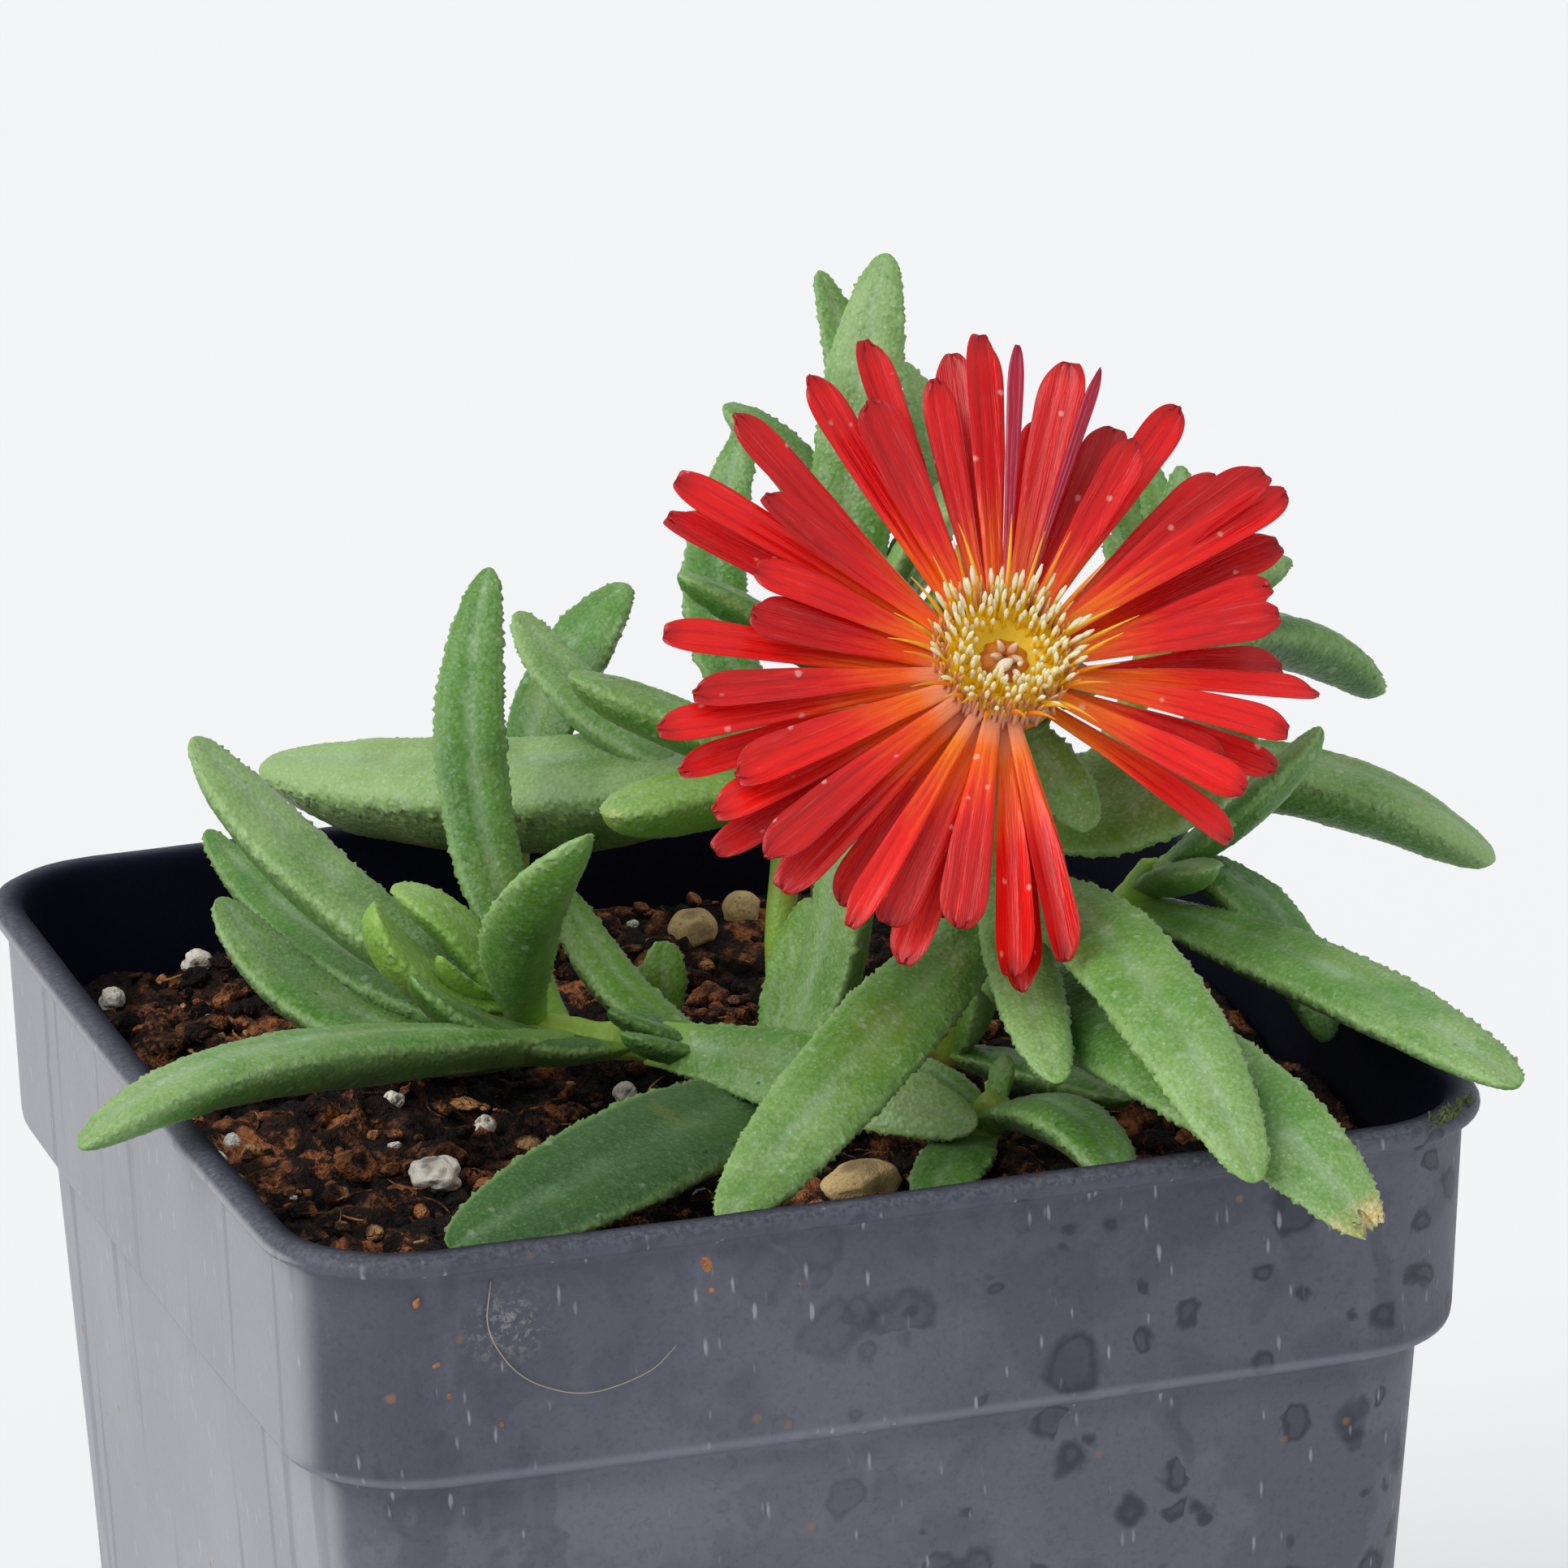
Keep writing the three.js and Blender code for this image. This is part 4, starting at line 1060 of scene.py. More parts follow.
class ICEPLANT_OT_soil(Operator):
    """Build the potting mix with its crumbs, clods and fibres"""

    bl_idname = "ice_plant.soil"
    bl_label = "Soil"

    def execute(self, context):
        soil, pot = context.scene.ice_plant.soil, context.scene.ice_plant.pot
        half = pot.band_foot_half - pot.wall - 1.9 * MM
        material = soil_material(soil)
        shells = [soil_shell(soil, pot), *crumb_shells(soil, half), *fibre_shells(soil, half)]
        seat_piece(make_piece("potting_mix", put_together(shells), material), "soil", "soil")
        clods = make_piece("soil_clods", put_together(clod_shells(soil, half)), material)
        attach(clods, "root")
        return {"FINISHED"}


class ICEPLANT_OT_stones(Operator):
    """Build the white perlite stones and the tan grit in the soil"""

    bl_idname = "ice_plant.stones"
    bl_label = "Stones"

    def execute(self, context):
        soil = context.scene.ice_plant.soil
        kinds = [
            ("perlite", PERLITE, stone_material("perlite_white", soil.perlite, srgb(224, 206, 176)), False),
            ("grit", GRIT, stone_material("grit_tan", soil.grit, srgb(120, 104, 62)), True),
        ]
        for kind, rows, material, angular in kinds:
            for number, row in enumerate(rows, 1):
                piece = make_piece(f"{kind}_stone_{number}", stone_shell(row, soil.level, angular), material)
                seat_piece(piece, kind, f"{kind}_{number}")
        return {"FINISHED"}


# Leaves.

# Each leaf is its distance up the stem, heading, rise, length, width, thickness, droop and turn over its
# length, roll, tone from −1 for dark and glossy to 1 for pale and powdery, and youth from 0 to 1. A leaf
# that keeps straight and droops near its tip has a bend over 1 as well, and one that droops near its base a
# bend under 1. The last value, on two leaves, is how torn and withered the tip is.
SHOOTS = {
    "left_shoot": {
        "stem": [
            (5, -3, 74), (4, -3.5, 81), (-1, -3.5, 84.6), (-8, -2, 85.6), (-13, 1.5, 85.6), (-15.6, 3.1, 88.3)
        ],
        "leaves": [
            [24.5, 210, 14.5, 47.5, 6.4, 4.2, 42, -10, 0, 0.3, 0, 3.2],
            [23.5, 128, -6, 42.5, 5.0, 3.4, -28, -27, 0, -0.4, 0],
            [25, 143, -22, 32, 7.0, 3.4, -65, -26, 0, 0.1, 0],
            [25, 117, 47, 38, 5.3, 3.6, -2, -67, 0, -0.2, 0],
            [28, 137, 21, 33.5, 7.0, 4.2, -19, -15, 0, 0.6, 0],
            [28, 236, 60, 25, 6.0, 3.4, 20, 65, 0, 0.5, 0.1],
            [30.5, 183, 11, 13.2, 6.6, 3.0, -60, 0, -15, 0.2, 0.9],
            [30.5, 135, 73, 11.8, 4.8, 2.6, 62, 8, 0, 0.1, 0.6],
            [30.5, 204, 21, 7.5, 2.2, 1.6, -35, 0, 0, 0.4, 1],
            [11, 129, 5, 22.5, 4.4, 3.0, -40, -30, 0, 0, 0.2],
            [17.9, 304, 5, 27, 6.4, 3.2, 17, 14, 40, 0.3, 0],
            [7.4, 233, 12, 46.5, 9.4, 3.4, 17, -23, -20, -1.5, 0],
            [8.5, -3, 51, 21.5, 9.2, 3.4, -49, 5, 0, 0.8, 0],
            [8.5, 60, 45, 15, 3.3, 2.4, 5, -10, 0, 0, 0.3],
            [12.5, 180, 26, 10, 2.0, 1.6, 0, 0, 0, -0.6, 0],
            [12.5, 152, 22, 8, 2.2, 1.6, 0, 0, 0, -0.6, 0],
            [12.5, 198, 16, 10, 2.4, 1.8, -10, 0, 0, -0.5, 0],
            [20, 182, -2, 18, 5.0, 2.6, -50, -10, 0, -0.9, 0.1],
        ],
    },
    "flower_shoot": {
        "stem": [(15, -3, 74), (16.5, -5, 84), (19.5, -9.5, 95), (18.6, -8.8, 102), (17.5, -8.2, 107.6)],
        "leaves": [
            [9, 304, 4, 16.5, 4.1, 2.8, 10, 0, 0, -0.2, 0],
            [9, 286, 50, 9.5, 4.7, 2.8, -40, -5, 70, 0.2, 0.2],
            [18, 270, 4.5, 52, 8.6, 3.2, 46, 26, 25, -0.1, 0, 3, 1],
            [23, 224, -7, 43.5, 7.3, 3.2, 15, -5, -25, 0.2, 0.1],
            [24, 270, 19, 46, 7.2, 3.4, 58, 7, 15, 0.05, 0.1],
            [28, 254, -22, 28.5, 5.0, 2.8, -6, 10, 5, 0.5, 0.1],
            [29.5, 341, 0, 20, 10.4, 3.4, -36, 5, 30, 0.5, 0.2],
        ],
    },
    "right_shoot": {
        "stem": [(22, -1, 74), (25, -4, 86), (29, -7.5, 93), (31.5, -8.5, 96.5)],
        "leaves": [
            [22, 289, 6, 44, 6.8, 3.4, 15.5, -2, 8, 0.1, 0],
            [25.8, 322, 34, 19.8, 6.2, 3.2, 111, -20, 0, -0.3, 0, 0.5],
            [25, 336, 40, 16.6, 4.4, 2.8, -6, 3, 0, 0.4, 0.1],
            [23.8, 289, 38, 8.4, 4.4, 2.6, 30, 5, 0, 0.4, 0.1],
        ],
    },
    "back_right_shoot": {
        "stem": [(19, 5, 74), (24, 6, 88), (32, 6, 99), (37, 8, 106), (39, 11, 111)],
        "leaves": [
            [28, 342, 16, 31.5, 7.0, 5.0, 55, -13, 0, 0.4, 0],
            [36, 27, 25, 27.5, 6.6, 4.2, 80, -9, 0, -0.2, 0],
            [40, 14, 37, 12.2, 5.0, 3.2, 37, -11, 0, -0.1, 0],
            [41, 52, 64, 11.5, 2.7, 2.2, 0, -5, 0, -0.2, 0],
            [37.5, 74, 56, 11.5, 3.6, 2.4, 30, 35, 0, -0.2, 0],
            [39, 72, 38, 20, 3.2, 2.2, 10, 30, 0, -0.3, 0],
            [39.3, 60, 35, 17.5, 2.8, 2.0, 0, 25, 0, -0.1, 0],
        ],
    },
    "top_shoot": {
        "stem": [(11, 5, 74), (12, 10, 92), (15, 14, 104), (18, 18, 112)],
        "leaves": [
            [33, 72, 73, 32.3, 6.3, 3.6, 15, -27, 0, 0.5, 0],
            [37, 56, 52, 29.5, 3.8, 2.8, 5, 45, 0, -0.1, 0],
            [37, 20, 19, 26.5, 3.6, 2.8, -32, 85, 0, 0.2, 0],
            [40, 115, 67, 18.5, 4.8, 3.2, 50, 10, 0, -0.1, 0],
            [26, 126, 14.5, 36.5, 4.8, 2.8, -38, -90, 0, 0, 0],
            [33, 174, 49, 16, 3.7, 2.6, 25, 0, 0, -0.2, 0],
            [31, 348, 78, 17, 3.0, 2.2, 20, 0, 0, 0.3, 0.1],
            [30, 345, 47, 18, 3.0, 2.2, -20, 0, 0, 0, 0],
            [34, 23, 58, 18, 4.4, 2.8, 15, -10, 0, 0.2, 0],
        ],
    },
    "back_left_shoot": {
        "stem": [(7.5, 5.5, 74), (7.5, 7.5, 88), (9.5, 11, 97), (9.5, 11.2, 102)],
        "leaves": [
            [28, 134, -15.5, 46.5, 10, 8.2, -12, -4, -14, 1.0, 0],
            [26, 133, -4, 29.8, 5.4, 3.4, -37, -32, 0, 0.4, 0],
            [27.5, 154, 26, 17.5, 4.8, 3.6, 9, -2, 0, 0.2, 0.1],
            [26.5, 190, 8, 15.5, 6.4, 4.4, 18, 0, 0, 0.3, 0.5, 1, 0.35],
        ],
    },
    "far_shoot": {
        "stem": [(-6, 31, 74), (-5, 33, 88), (-3.8, 34.5, 93)],
        "leaves": [[18.5, 38, 69, 19, 6.6, 3.6, 40, -15, 0, -0.2, 0]],
    },
    "front_shoot": {
        "stem": [(12, -16, 74), (13.5, -18.5, 81), (15, -19.5, 84.5)],
        "leaves": [
            [9.5, 295, 35, 18, 5.4, 3.4, 70, -20, 0, -0.1, 0],
            [9.5, 123, 28, 8, 4.1, 2.8, 15, 5, 0, 0.1, 0.1],
            [7.6, 239, 15, 13, 5.3, 2.6, 34, -9, 0, -0.3, 0],
            [9.7, 24, 67, 4.5, 2.0, 1.6, 0, 0, 0, 0.3, 0.4],
        ],
    },
    "sprout": {
        "stem": [(-0.7, 9.5, 75), (-0.5, 9.8, 80), (-0.5, 10.1, 82)],
        "leaves": [
            [7, 85, 80, 6, 3.4, 1.6, 0, 0, 0, 0, 0.3],
            [6, 130, 60, 5.5, 3.2, 1.6, -10, 0, 0, 0, 0.3],
        ],
    },
}
LEAF_COLUMNS = (
    "distance", "heading", "rise", "length", "width", "thick",
    "droop", "turn", "roll", "tone", "youth", "bend", "worn",
)

# The share of its length at which a torn leaf ends.
TORN_AT = 0.97

# The green cup's sepals, in millimetres and degrees: their lengths, and the bearing of the first.
SEPAL_LENGTHS = (8, 6.5, 9.5, 6, 7.5)
FIRST_SEPAL = 66


def read_leaf(row):
    """One row of the leaf table by name, with its sizes in metres."""
    blade = dict(zip(LEAF_COLUMNS, row))
    for size in ("distance", "length", "width", "thick"):
        blade[size] *= MM
    return blade


def blade_frame(blade, share):
    """Direction, left side and upper side of a blade at a share of its length.

    The direction has the heading plus the turn times the share, and the rise less the droop times the share
    to the power of the bend. The left side is level, turned about the direction by the roll plus the twist
    times the share. A blade without a bend has 1, and one without a twist has 0.
    """
    heading = np.radians(blade["heading"] + blade["turn"] * share)
    rise = np.radians(blade["rise"] - blade["droop"] * share ** blade.get("bend", 1))
    roll = np.radians(blade["roll"] + blade.get("twist", 0) * share)[..., None]
    along = np.stack([np.cos(rise) * np.cos(heading), np.cos(rise) * np.sin(heading), np.sin(rise)], -1)
    level = np.stack([-np.sin(heading), np.cos(heading), np.zeros_like(heading)], -1)
    side = level * np.cos(roll) + np.cross(along, level) * np.sin(roll)
    return along, side, np.cross(along, side)


def blade_line(base, blade, share):
    """Points of a blade's middle line: its direction summed in short steps from the base."""
    steps = 96
    middles = (np.arange(steps) + 0.5) / steps
    along, _, _ = blade_frame(blade, middles)
    line = np.concatenate([np.zeros((1, 3)), np.cumsum(along, axis=0)]) * blade["length"] / steps
    marks = np.linspace(0, 1, steps + 1)
    return base + np.stack([np.interp(share, marks, line[:, axis]) for axis in range(3)], -1)


def leaf_swell(share):
    """Width of a leaf against its widest: it swells over the first 45% and rounds off to a blunt tip."""
    shoulder = 0.6 + 0.4 * smooth_step(share, 0, 0.45)
    tip = np.maximum((share - 0.52) / 0.48, 0)
    return shoulder * np.sqrt(np.maximum(1 - tip**2.3, 0))


def leaf_section(half, thick):
    """The outline across a leaf as points and as the share of the way round at which each lies.

    With x = cos a from −1 to 1, the upper face is 0.24·(1 − |x|³)^0.6 less a shallow channel, and the keeled
    underside is −0.76·(1 − |x|^1.8)^0.8, in half widths and thicknesses.
    """
    angle = np.linspace(0, 2 * math.pi, 721)
    x = np.cos(angle)
    reach = np.minimum(np.abs(x), 1)
    upper = 0.24 * (1 - reach**3) ** 0.6 - 0.04 * np.exp(-((x / 0.3) ** 2))
    lower = -0.76 * (1 - reach**1.8) ** 0.8
    y = np.where(angle <= math.pi, upper, lower)
    steps = np.hypot(np.diff(x) * half, np.diff(y) * thick)
    travelled = running_total(steps)
    return x, y, travelled / travelled[-1], travelled[-1]


def leaf_surface(base, blade, section, share, fraction):
    """A leaf's skin as a function of the share of its length and the fraction of the way round."""
    x, y, marks, _ = section
    fraction = fraction % 1
    across = np.interp(fraction, marks, x)
    up = np.interp(fraction, marks, y)
    swell = leaf_swell(share)
    _, side, upper = blade_frame(blade, share)
    sideways = (0.5 * blade["width"] * swell * across)[..., None] * side
    upwards = (blade["thick"] * swell * up)[..., None] * upper
    return blade_line(base, blade, share) + sideways + upwards


def row_shares(blade, spacing):
    """Shares of a leaf's length for its rows, evenly apart along its outline, up to near the tip."""
    share = np.linspace(0, 0.998, 800)
    radius = 0.5 * blade["width"] * leaf_swell(share)
    steps = np.hypot(np.diff(share) * blade["length"], np.diff(radius))
    travelled = running_total(steps)
    rows = max(6, round(travelled[-1] / spacing))
    return np.interp(np.linspace(0, travelled[-1], rows), travelled, share)


def leaf_shell(base, blade, leaf, random):
    """A leaf covered in pimples.

    Its skin is a net of triangles whose rows are turned by half a column each, with every point moved a
    little within its place. Every third point of a row, one further on in each row, is raised along the
    surface's normal by an uneven height, and so are a few of the rest. Pimples are tallest on the margins and
    fade out at the base and the very tip. A torn tip ends in an uneven edge at 97% of the length.
    """
    section = leaf_section(0.5 * blade["width"], blade["thick"])
    columns = 3 * max(4, round(section[3] * 0.93 / leaf.pimple_spacing / 3))
    shares = row_shares(blade, leaf.pimple_spacing * math.sqrt(0.75))
    rows = len(shares)
    row, column = np.meshgrid(np.arange(rows), np.arange(columns), indexing="ij")
    loose = 0.42
    inner = (row > 0) & (row < rows - 1)
    share = shares[row] + inner * loose * random.uniform(-1, 1, row.shape) * np.gradient(shares)[row]
    fraction = ((column + 0.5 * row + loose * random.uniform(-1, 1, row.shape)) / columns) % 1
    worn = blade.get("worn", 0)
    if worn == 1:
        torn_edge = TORN_AT + 0.012 * np.sin(19 * fraction) + 0.01 * np.sin(47 * fraction + 1)
        share = np.minimum(share, torn_edge)
    points = leaf_surface(base, blade, section, share, fraction)
    nudge = 0.002
    lengthways = leaf_surface(base, blade, section, np.minimum(share + nudge, 0.999), fraction)
    lengthways = lengthways - leaf_surface(base, blade, section, np.maximum(share - nudge, 0), fraction)
    around = leaf_surface(base, blade, section, share, fraction + nudge)
    around = around - leaf_surface(base, blade, section, share, fraction - nudge)
    normal = np.cross(around, lengthways)
    normal /= np.maximum(np.linalg.norm(normal, axis=-1), 1e-12)[..., None]
    across = np.interp(fraction, section[2], section[0])
    margin = smooth_step(np.abs(across), 0.8, 0.98)
    strays = random.uniform(0, 1, row.shape)
    raised = np.where((column - row) % 3 == 0, strays > 0.16, strays > 0.86)
    fade = smooth_step(share, 0.02, 0.16) * smooth_step(leaf_swell(share), 0.1, 0.4)
    height = random.uniform(0.25, 1.5, raised.shape)
    lift = leaf.pimple_height * raised * fade * height * (0.45 + 1.4 * margin)
    sway = 0.02 * blade["thick"] * lattice_noise(points.reshape(-1, 3), 3.2 * MM, 71).reshape(raised.shape)
    points = points + normal * (lift + sway * fade)[..., None]
    tip = blade_line(base, blade, np.array([TORN_AT if worn == 1 else 1.0]))
    skin = np.concatenate([points.reshape(-1, 3), base[None], tip])
    # 1 on the upper face and 0 on the underside, for the painted light above and the painted shade below.
    facing = smooth_step(np.interp(fraction, section[2], section[1]), -0.5, 0.02)
    return Shell(skin, tube_faces(rows, columns, staggered=True)).marked(
        share=np.append(share, [0, 1]),
        across=np.append(across, [0, 0]),
        facing=np.append(facing, [0, 0]),
        pimple=np.append(raised * fade * height, [0, 0]),
        tone=blade["tone"] + random.uniform(-0.12, 0.12),
        youth=blade["youth"],
        worn=worn,
    )


def point_along(points, distance):
    """A point of a stem's line at a distance from its foot."""
    travelled = distances_along(points)
    return np.array([np.interp(distance, travelled, points[:, axis]) for axis in range(3)])


def stem_shell(points, leaf, joints):
    """A stem: a strand through the stem's points with its corners rounded, thicker at each pair of leaves."""
    line = rounded_line(points, 2.4 * MM, 7)
    travelled = distances_along(line)
    even = np.arange(0, travelled[-1], 0.45 * MM)
    even = np.append(even, travelled[-1])
    line = np.stack([np.interp(even, travelled, line[:, axis]) for axis in range(3)], -1)
    share = even / even[-1]
    radius = leaf.stem_radius + (leaf.stem_tip - leaf.stem_radius) * share
    near = np.abs(even[:, None] - np.array(joints)[None, :]).min(axis=1)
    radius = radius * (1 + 0.28 * np.exp(-((near / (1.4 * MM)) ** 2)))
    radius = radius * (1 - 0.5 * smooth_step(share, 0.97, 1.0))
    columns = 18
    shell = strand_shell(line, radius, columns)
    wander = lattice_noise(shell.points, 1.6 * MM, 83)[:, None]
    middle = np.concatenate([np.repeat(line, columns, axis=0), line[:1], line[-1:]])
    shell.points = shell.points + (shell.points - middle) * 0.06 * wander
    return shell.marked(stem=1, share=np.append(np.repeat(share, columns), [0, 1]))


def flower_place(flower):
    """The turn from the bloom's own frame, with Z along its axis and X uphill, and its seat."""
    rise, heading = flower.rise, flower.heading
    level = np.array([math.cos(heading), math.sin(heading), 0])
    upright = np.array([0, 0, 1])
    axis = math.cos(rise) * level + math.sin(rise) * upright
    uphill = math.cos(rise) * upright - math.sin(rise) * level
    return np.stack([uphill, np.cross(axis, uphill), axis], -1), np.array(flower.seat)


def place_in_flower(shell, flower):
    turn, seat = flower_place(flower)
    shell.points = shell.points @ turn.T + seat
    return shell


def turned_shell(profile, columns, wobble=0.0, waves=5):
    """A body turned round Z from a profile of radius and height, with a wave of the radius round it."""
    radius, height = np.asarray(profile, float).T
    angle = even_angles(columns)
    wavy = radius[:, None] * (1 + wobble * np.cos(waves * angle))[None, :]
    rings = np.stack(
        [wavy * np.cos(angle), wavy * np.sin(angle), np.broadcast_to(height[:, None], wavy.shape)], -1
    )
    poles = np.array([[0, 0, height[0]], [0, 0, height[-1]]])
    return Shell(np.concatenate([rings.reshape(-1, 3), poles]), tube_faces(len(radius), columns))


def receptacle_shells(flower, leaf, random):
    """The green cup under the petals, with five fleshy sepals."""
    profile = np.array([[1.1, -8.4], [1.5, -7.6], [2.3, -5.4], [4.1, -2.6], [4.7, -0.9], [4.4, -0.3]]) * MM
    cup = turned_shell(rounded_line(profile, 1.2 * MM, 6), 60, 0.03, 5)
    shells = [cup.marked(tone=0.2, share=0.4)]
    for number, length in enumerate(SEPAL_LENGTHS):
        bearing = FIRST_SEPAL + 360 / len(SEPAL_LENGTHS) * number
        sepal = read_leaf([0, bearing, -12, length, 4.6, 1.8, 10, 0, 0, 0.3, 0.1])
        turn = math.radians(bearing)
        base = np.array([2.6 * math.cos(turn), 2.6 * math.sin(turn), -1.6]) * MM
        shells.append(leaf_shell(base, sepal, leaf, random))
    return [place_in_flower(shell, flower) for shell in shells]


def leaf_material(leaf):
    """Fleshy leaf skin: greens by tone, painted paler on the upper face and darker below, pale margins and
    channel, yellow-green bases and glassy pimples with painted glints.
    """
    material, tree, shader = new_material("leaf_skin")
    place = object_place(tree)
    share, across = attribute(tree, "share"), attribute(tree, "across")
    facing, pimple = attribute(tree, "facing"), attribute(tree, "pimple")
    mottle = mottled(tree, place, 190.0, 3400.0)
    off_middle = calculate(tree, "ABSOLUTE", across)
    margin = between(tree, off_middle, 0.8, 1.0)
    tone = times_plus(tree, attribute(tree, "tone"), 0.38, 0.42)
    tone = times_plus(tree, mottle["Both"], 0.36, calculate(tree, "SUBTRACT", tone, 0.18))
    # Painted light and shade: the upper face is painted paler and the underside darker.
    tone = times_plus(tree, facing, 0.3, calculate(tree, "SUBTRACT", tone, 0.2))
    tone = calculate(tree, "ADD", between(tree, share, 0.35, 0.95, -0.14, 0.12), tone)
    colour = colour_mix(tree, between(tree, tone, 0.0, 0.5), leaf.dark, leaf.fresh)
    colour = colour_mix(tree, between(tree, tone, 0.4, 1.0), colour, leaf.pale)
    colour = colour_mix(tree, times(tree, margin, 0.5), colour, leaf.pale)
    channel = times(tree, between(tree, off_middle, 0.04, 0.3, 0.45, 0.0), facing)
    channel = times(tree, channel, between(tree, mottle["Patches"], 0.1, 0.8, 0.3, 1.0))
    channel = times(tree, channel, between(tree, tone, -0.1, 0.6, 0.25, 1.0))
    colour = colour_mix(tree, channel, colour, srgb(150, 178, 142))
    near_base = between(tree, share, 0.0, 0.2, 0.75, 0.0)
    youth = times(tree, attribute(tree, "youth"), 0.8)
    young = calculate(tree, "MAXIMUM", near_base, youth)
    colour = colour_mix(tree, young, colour, leaf.young)
    olive = between(tree, noise(tree, place, 150.0, 2.0, 0.5), 0.52, 0.66, 0.0, 0.32)
    olive = times(tree, olive, between(tree, off_middle, 0.3, 0.8, 1.0, 0.0))
    colour = colour_mix(tree, olive, colour, srgb(118, 132, 50))
    glassy = put(tree, "ShaderNodeTexVoronoi", Vector=place, Scale=2700.0).outputs["Distance"]
    # Painted highlights: pale points in the fine cells and on the pimples' tips stand for the sparkle of the
    # glassy cells.
    glint = times(tree, between(tree, glassy, 0.06, 0.26, 1.0, 0.0), mottle["Grain"])
    painted_sparkle = times_plus(tree, glint, 0.55, times(tree, pimple, 0.14))
    painted_sparkle = times(tree, painted_sparkle, between(tree, tone, 0.1, 0.8, 0.45, 1.0))
    colour = colour_mix(tree, painted_sparkle, colour, srgb(208, 224, 200))
    powder = spotted(tree, place, 900.0, 0.22, 0.1)
    colour = colour_mix(tree, times(tree, powder["Spot"], 0.22), colour, srgb(205, 216, 196))
    withered = times(tree, attribute(tree, "worn"), between(tree, share, 0.93, 0.975))
    withered = times(tree, withered, between(tree, mottle["Patches"], 0.1, 0.6, 0.4, 1.0))
    straw = colour_mix(tree, mottle["Grain"], srgb(206, 172, 84), srgb(240, 226, 186))
    colour = colour_mix(tree, withered, colour, straw)
    stem = attribute(tree, "stem")
    aged = times(tree, mottle["Patches"], between(tree, share, 0.1, 0.9, 1.0, 0.35))
    stem_colour = colour_mix(tree, aged, leaf.young, leaf.bark)
    colour = colour_mix(tree, stem, colour, stem_colour)
    gloss = times_plus(tree, mottle["Grain"], 0.14, 0.36)
    finish_shader(
        tree,
        shader,
        times(tree, glassy, -1.0),
        0.00007,
        0.7,
        Base_Color=colour,
        Roughness=gloss,
        Subsurface_Weight=0.12,
        Subsurface_Radius=(0.5, 1.0, 0.25),
        Subsurface_Scale=0.0012,
        Sheen_Weight=0.12,
        Sheen_Roughness=0.5,
        Sheen_Tint=srgb(215, 240, 195),
    )
    return material


class ICEPLANT_OT_leafy_stems(Operator):
    """Build every leafy stem as one piece of stem and pimpled leaves"""

    bl_idname = "ice_plant.leafy_stems"
    bl_label = "Leafy stems"

    def execute(self, context):
        leaf, flower = context.scene.ice_plant.leaf, context.scene.ice_plant.flower
        material = leaf_material(leaf)
        for seed, (name, parts) in enumerate(SHOOTS.items()):
            random = np.random.default_rng(100 + seed)
            stem = np.array(parts["stem"], float) * MM
            blades = [read_leaf(row) for row in parts["leaves"]]
            shells = [stem_shell(stem, leaf, [blade["distance"] for blade in blades])]
            for blade in blades:
                base = point_along(stem, blade["distance"])
                shells.append(leaf_shell(base, blade, leaf, random))
            if name == "flower_shoot":
                shells += receptacle_shells(flower, leaf, random)
            piece = make_piece(f"{name}_skin", put_together(shells), material)
            seat_piece(piece, "leaf", name)
        return {"FINISHED"}


# Flower.

# Petals as bearing, length and width against the widest. Bearings run clockwise from the uphill side as one
# looks at the open bloom.
PETALS = [
    (3, 21.8, 1), (7, 22, 1), (13, 20.5, 0.35), (18, 17, 1), (22, 21, 1), (27, 20.5, 0.3), (34, 18.2, 1),
    (40.5, 21.5, 1), (38, 16.5, 1), (53, 20, 1), (58.5, 21.3, 1), (64, 21.5, 1), (68, 19.8, 1), (80, 17.2, 1),
    (86, 16.5, 1), (93, 17, 1), (99, 19.2, 1), (110, 17, 1), (113, 17, 1), (119, 13.2, 1), (129, 15.5, 1),
    (132.5, 16.3, 1), (176, 17.5, 1), (181, 19.5, 1), (185, 20, 1), (189, 19.5, 1), (201, 17.5, 1),
    (205.5, 19.3, 1), (210, 18, 1), (216, 20, 0.8), (223, 17.3, 1), (229.5, 20, 1), (236, 20, 1),
    (242, 21.3, 1), (247.5, 20.5, 1), (251, 18, 1), (259.5, 20.7, 0.8), (264.5, 22, 0.8), (268, 19, 1),
    (282, 20.3, 1), (287, 14.5, 1), (297, 15, 1), (302.5, 22.4, 1), (308, 23, 1), (311, 17, 1),
    (322, 23.2, 1), (336.5, 22, 1), (342, 18, 1), (347.5, 23.3, 1), (357, 18.7, 1),
]
PETAL_COLUMNS = 28
PETAL_ROWS = 44

# The petals whose bearings lie from the first to the second are narrower, and folded into a trough of that
# depth in millimetres. A petal of less than the slim width is magenta.
FOLDED_BEARINGS = (172, 190)
FOLDED_CUP = 1.9
FOLDED_WIDTH = 0.82
SLIM_PETAL = 0.5


def petal_width(share):
    """Width of a petal in metres: a narrow claw that widens to a strap and ends in a blunt round tip."""
    strap = np.interp(share, (0, 0.3, 0.6, 0.83, 1), (1.3, 2.0, 3.15, 3.6, 3.6)) * MM
    tip = np.clip((share - 0.84) / 0.16, 0, 1)
    return strap * np.sqrt(np.maximum(1 - tip**2.4, 0))


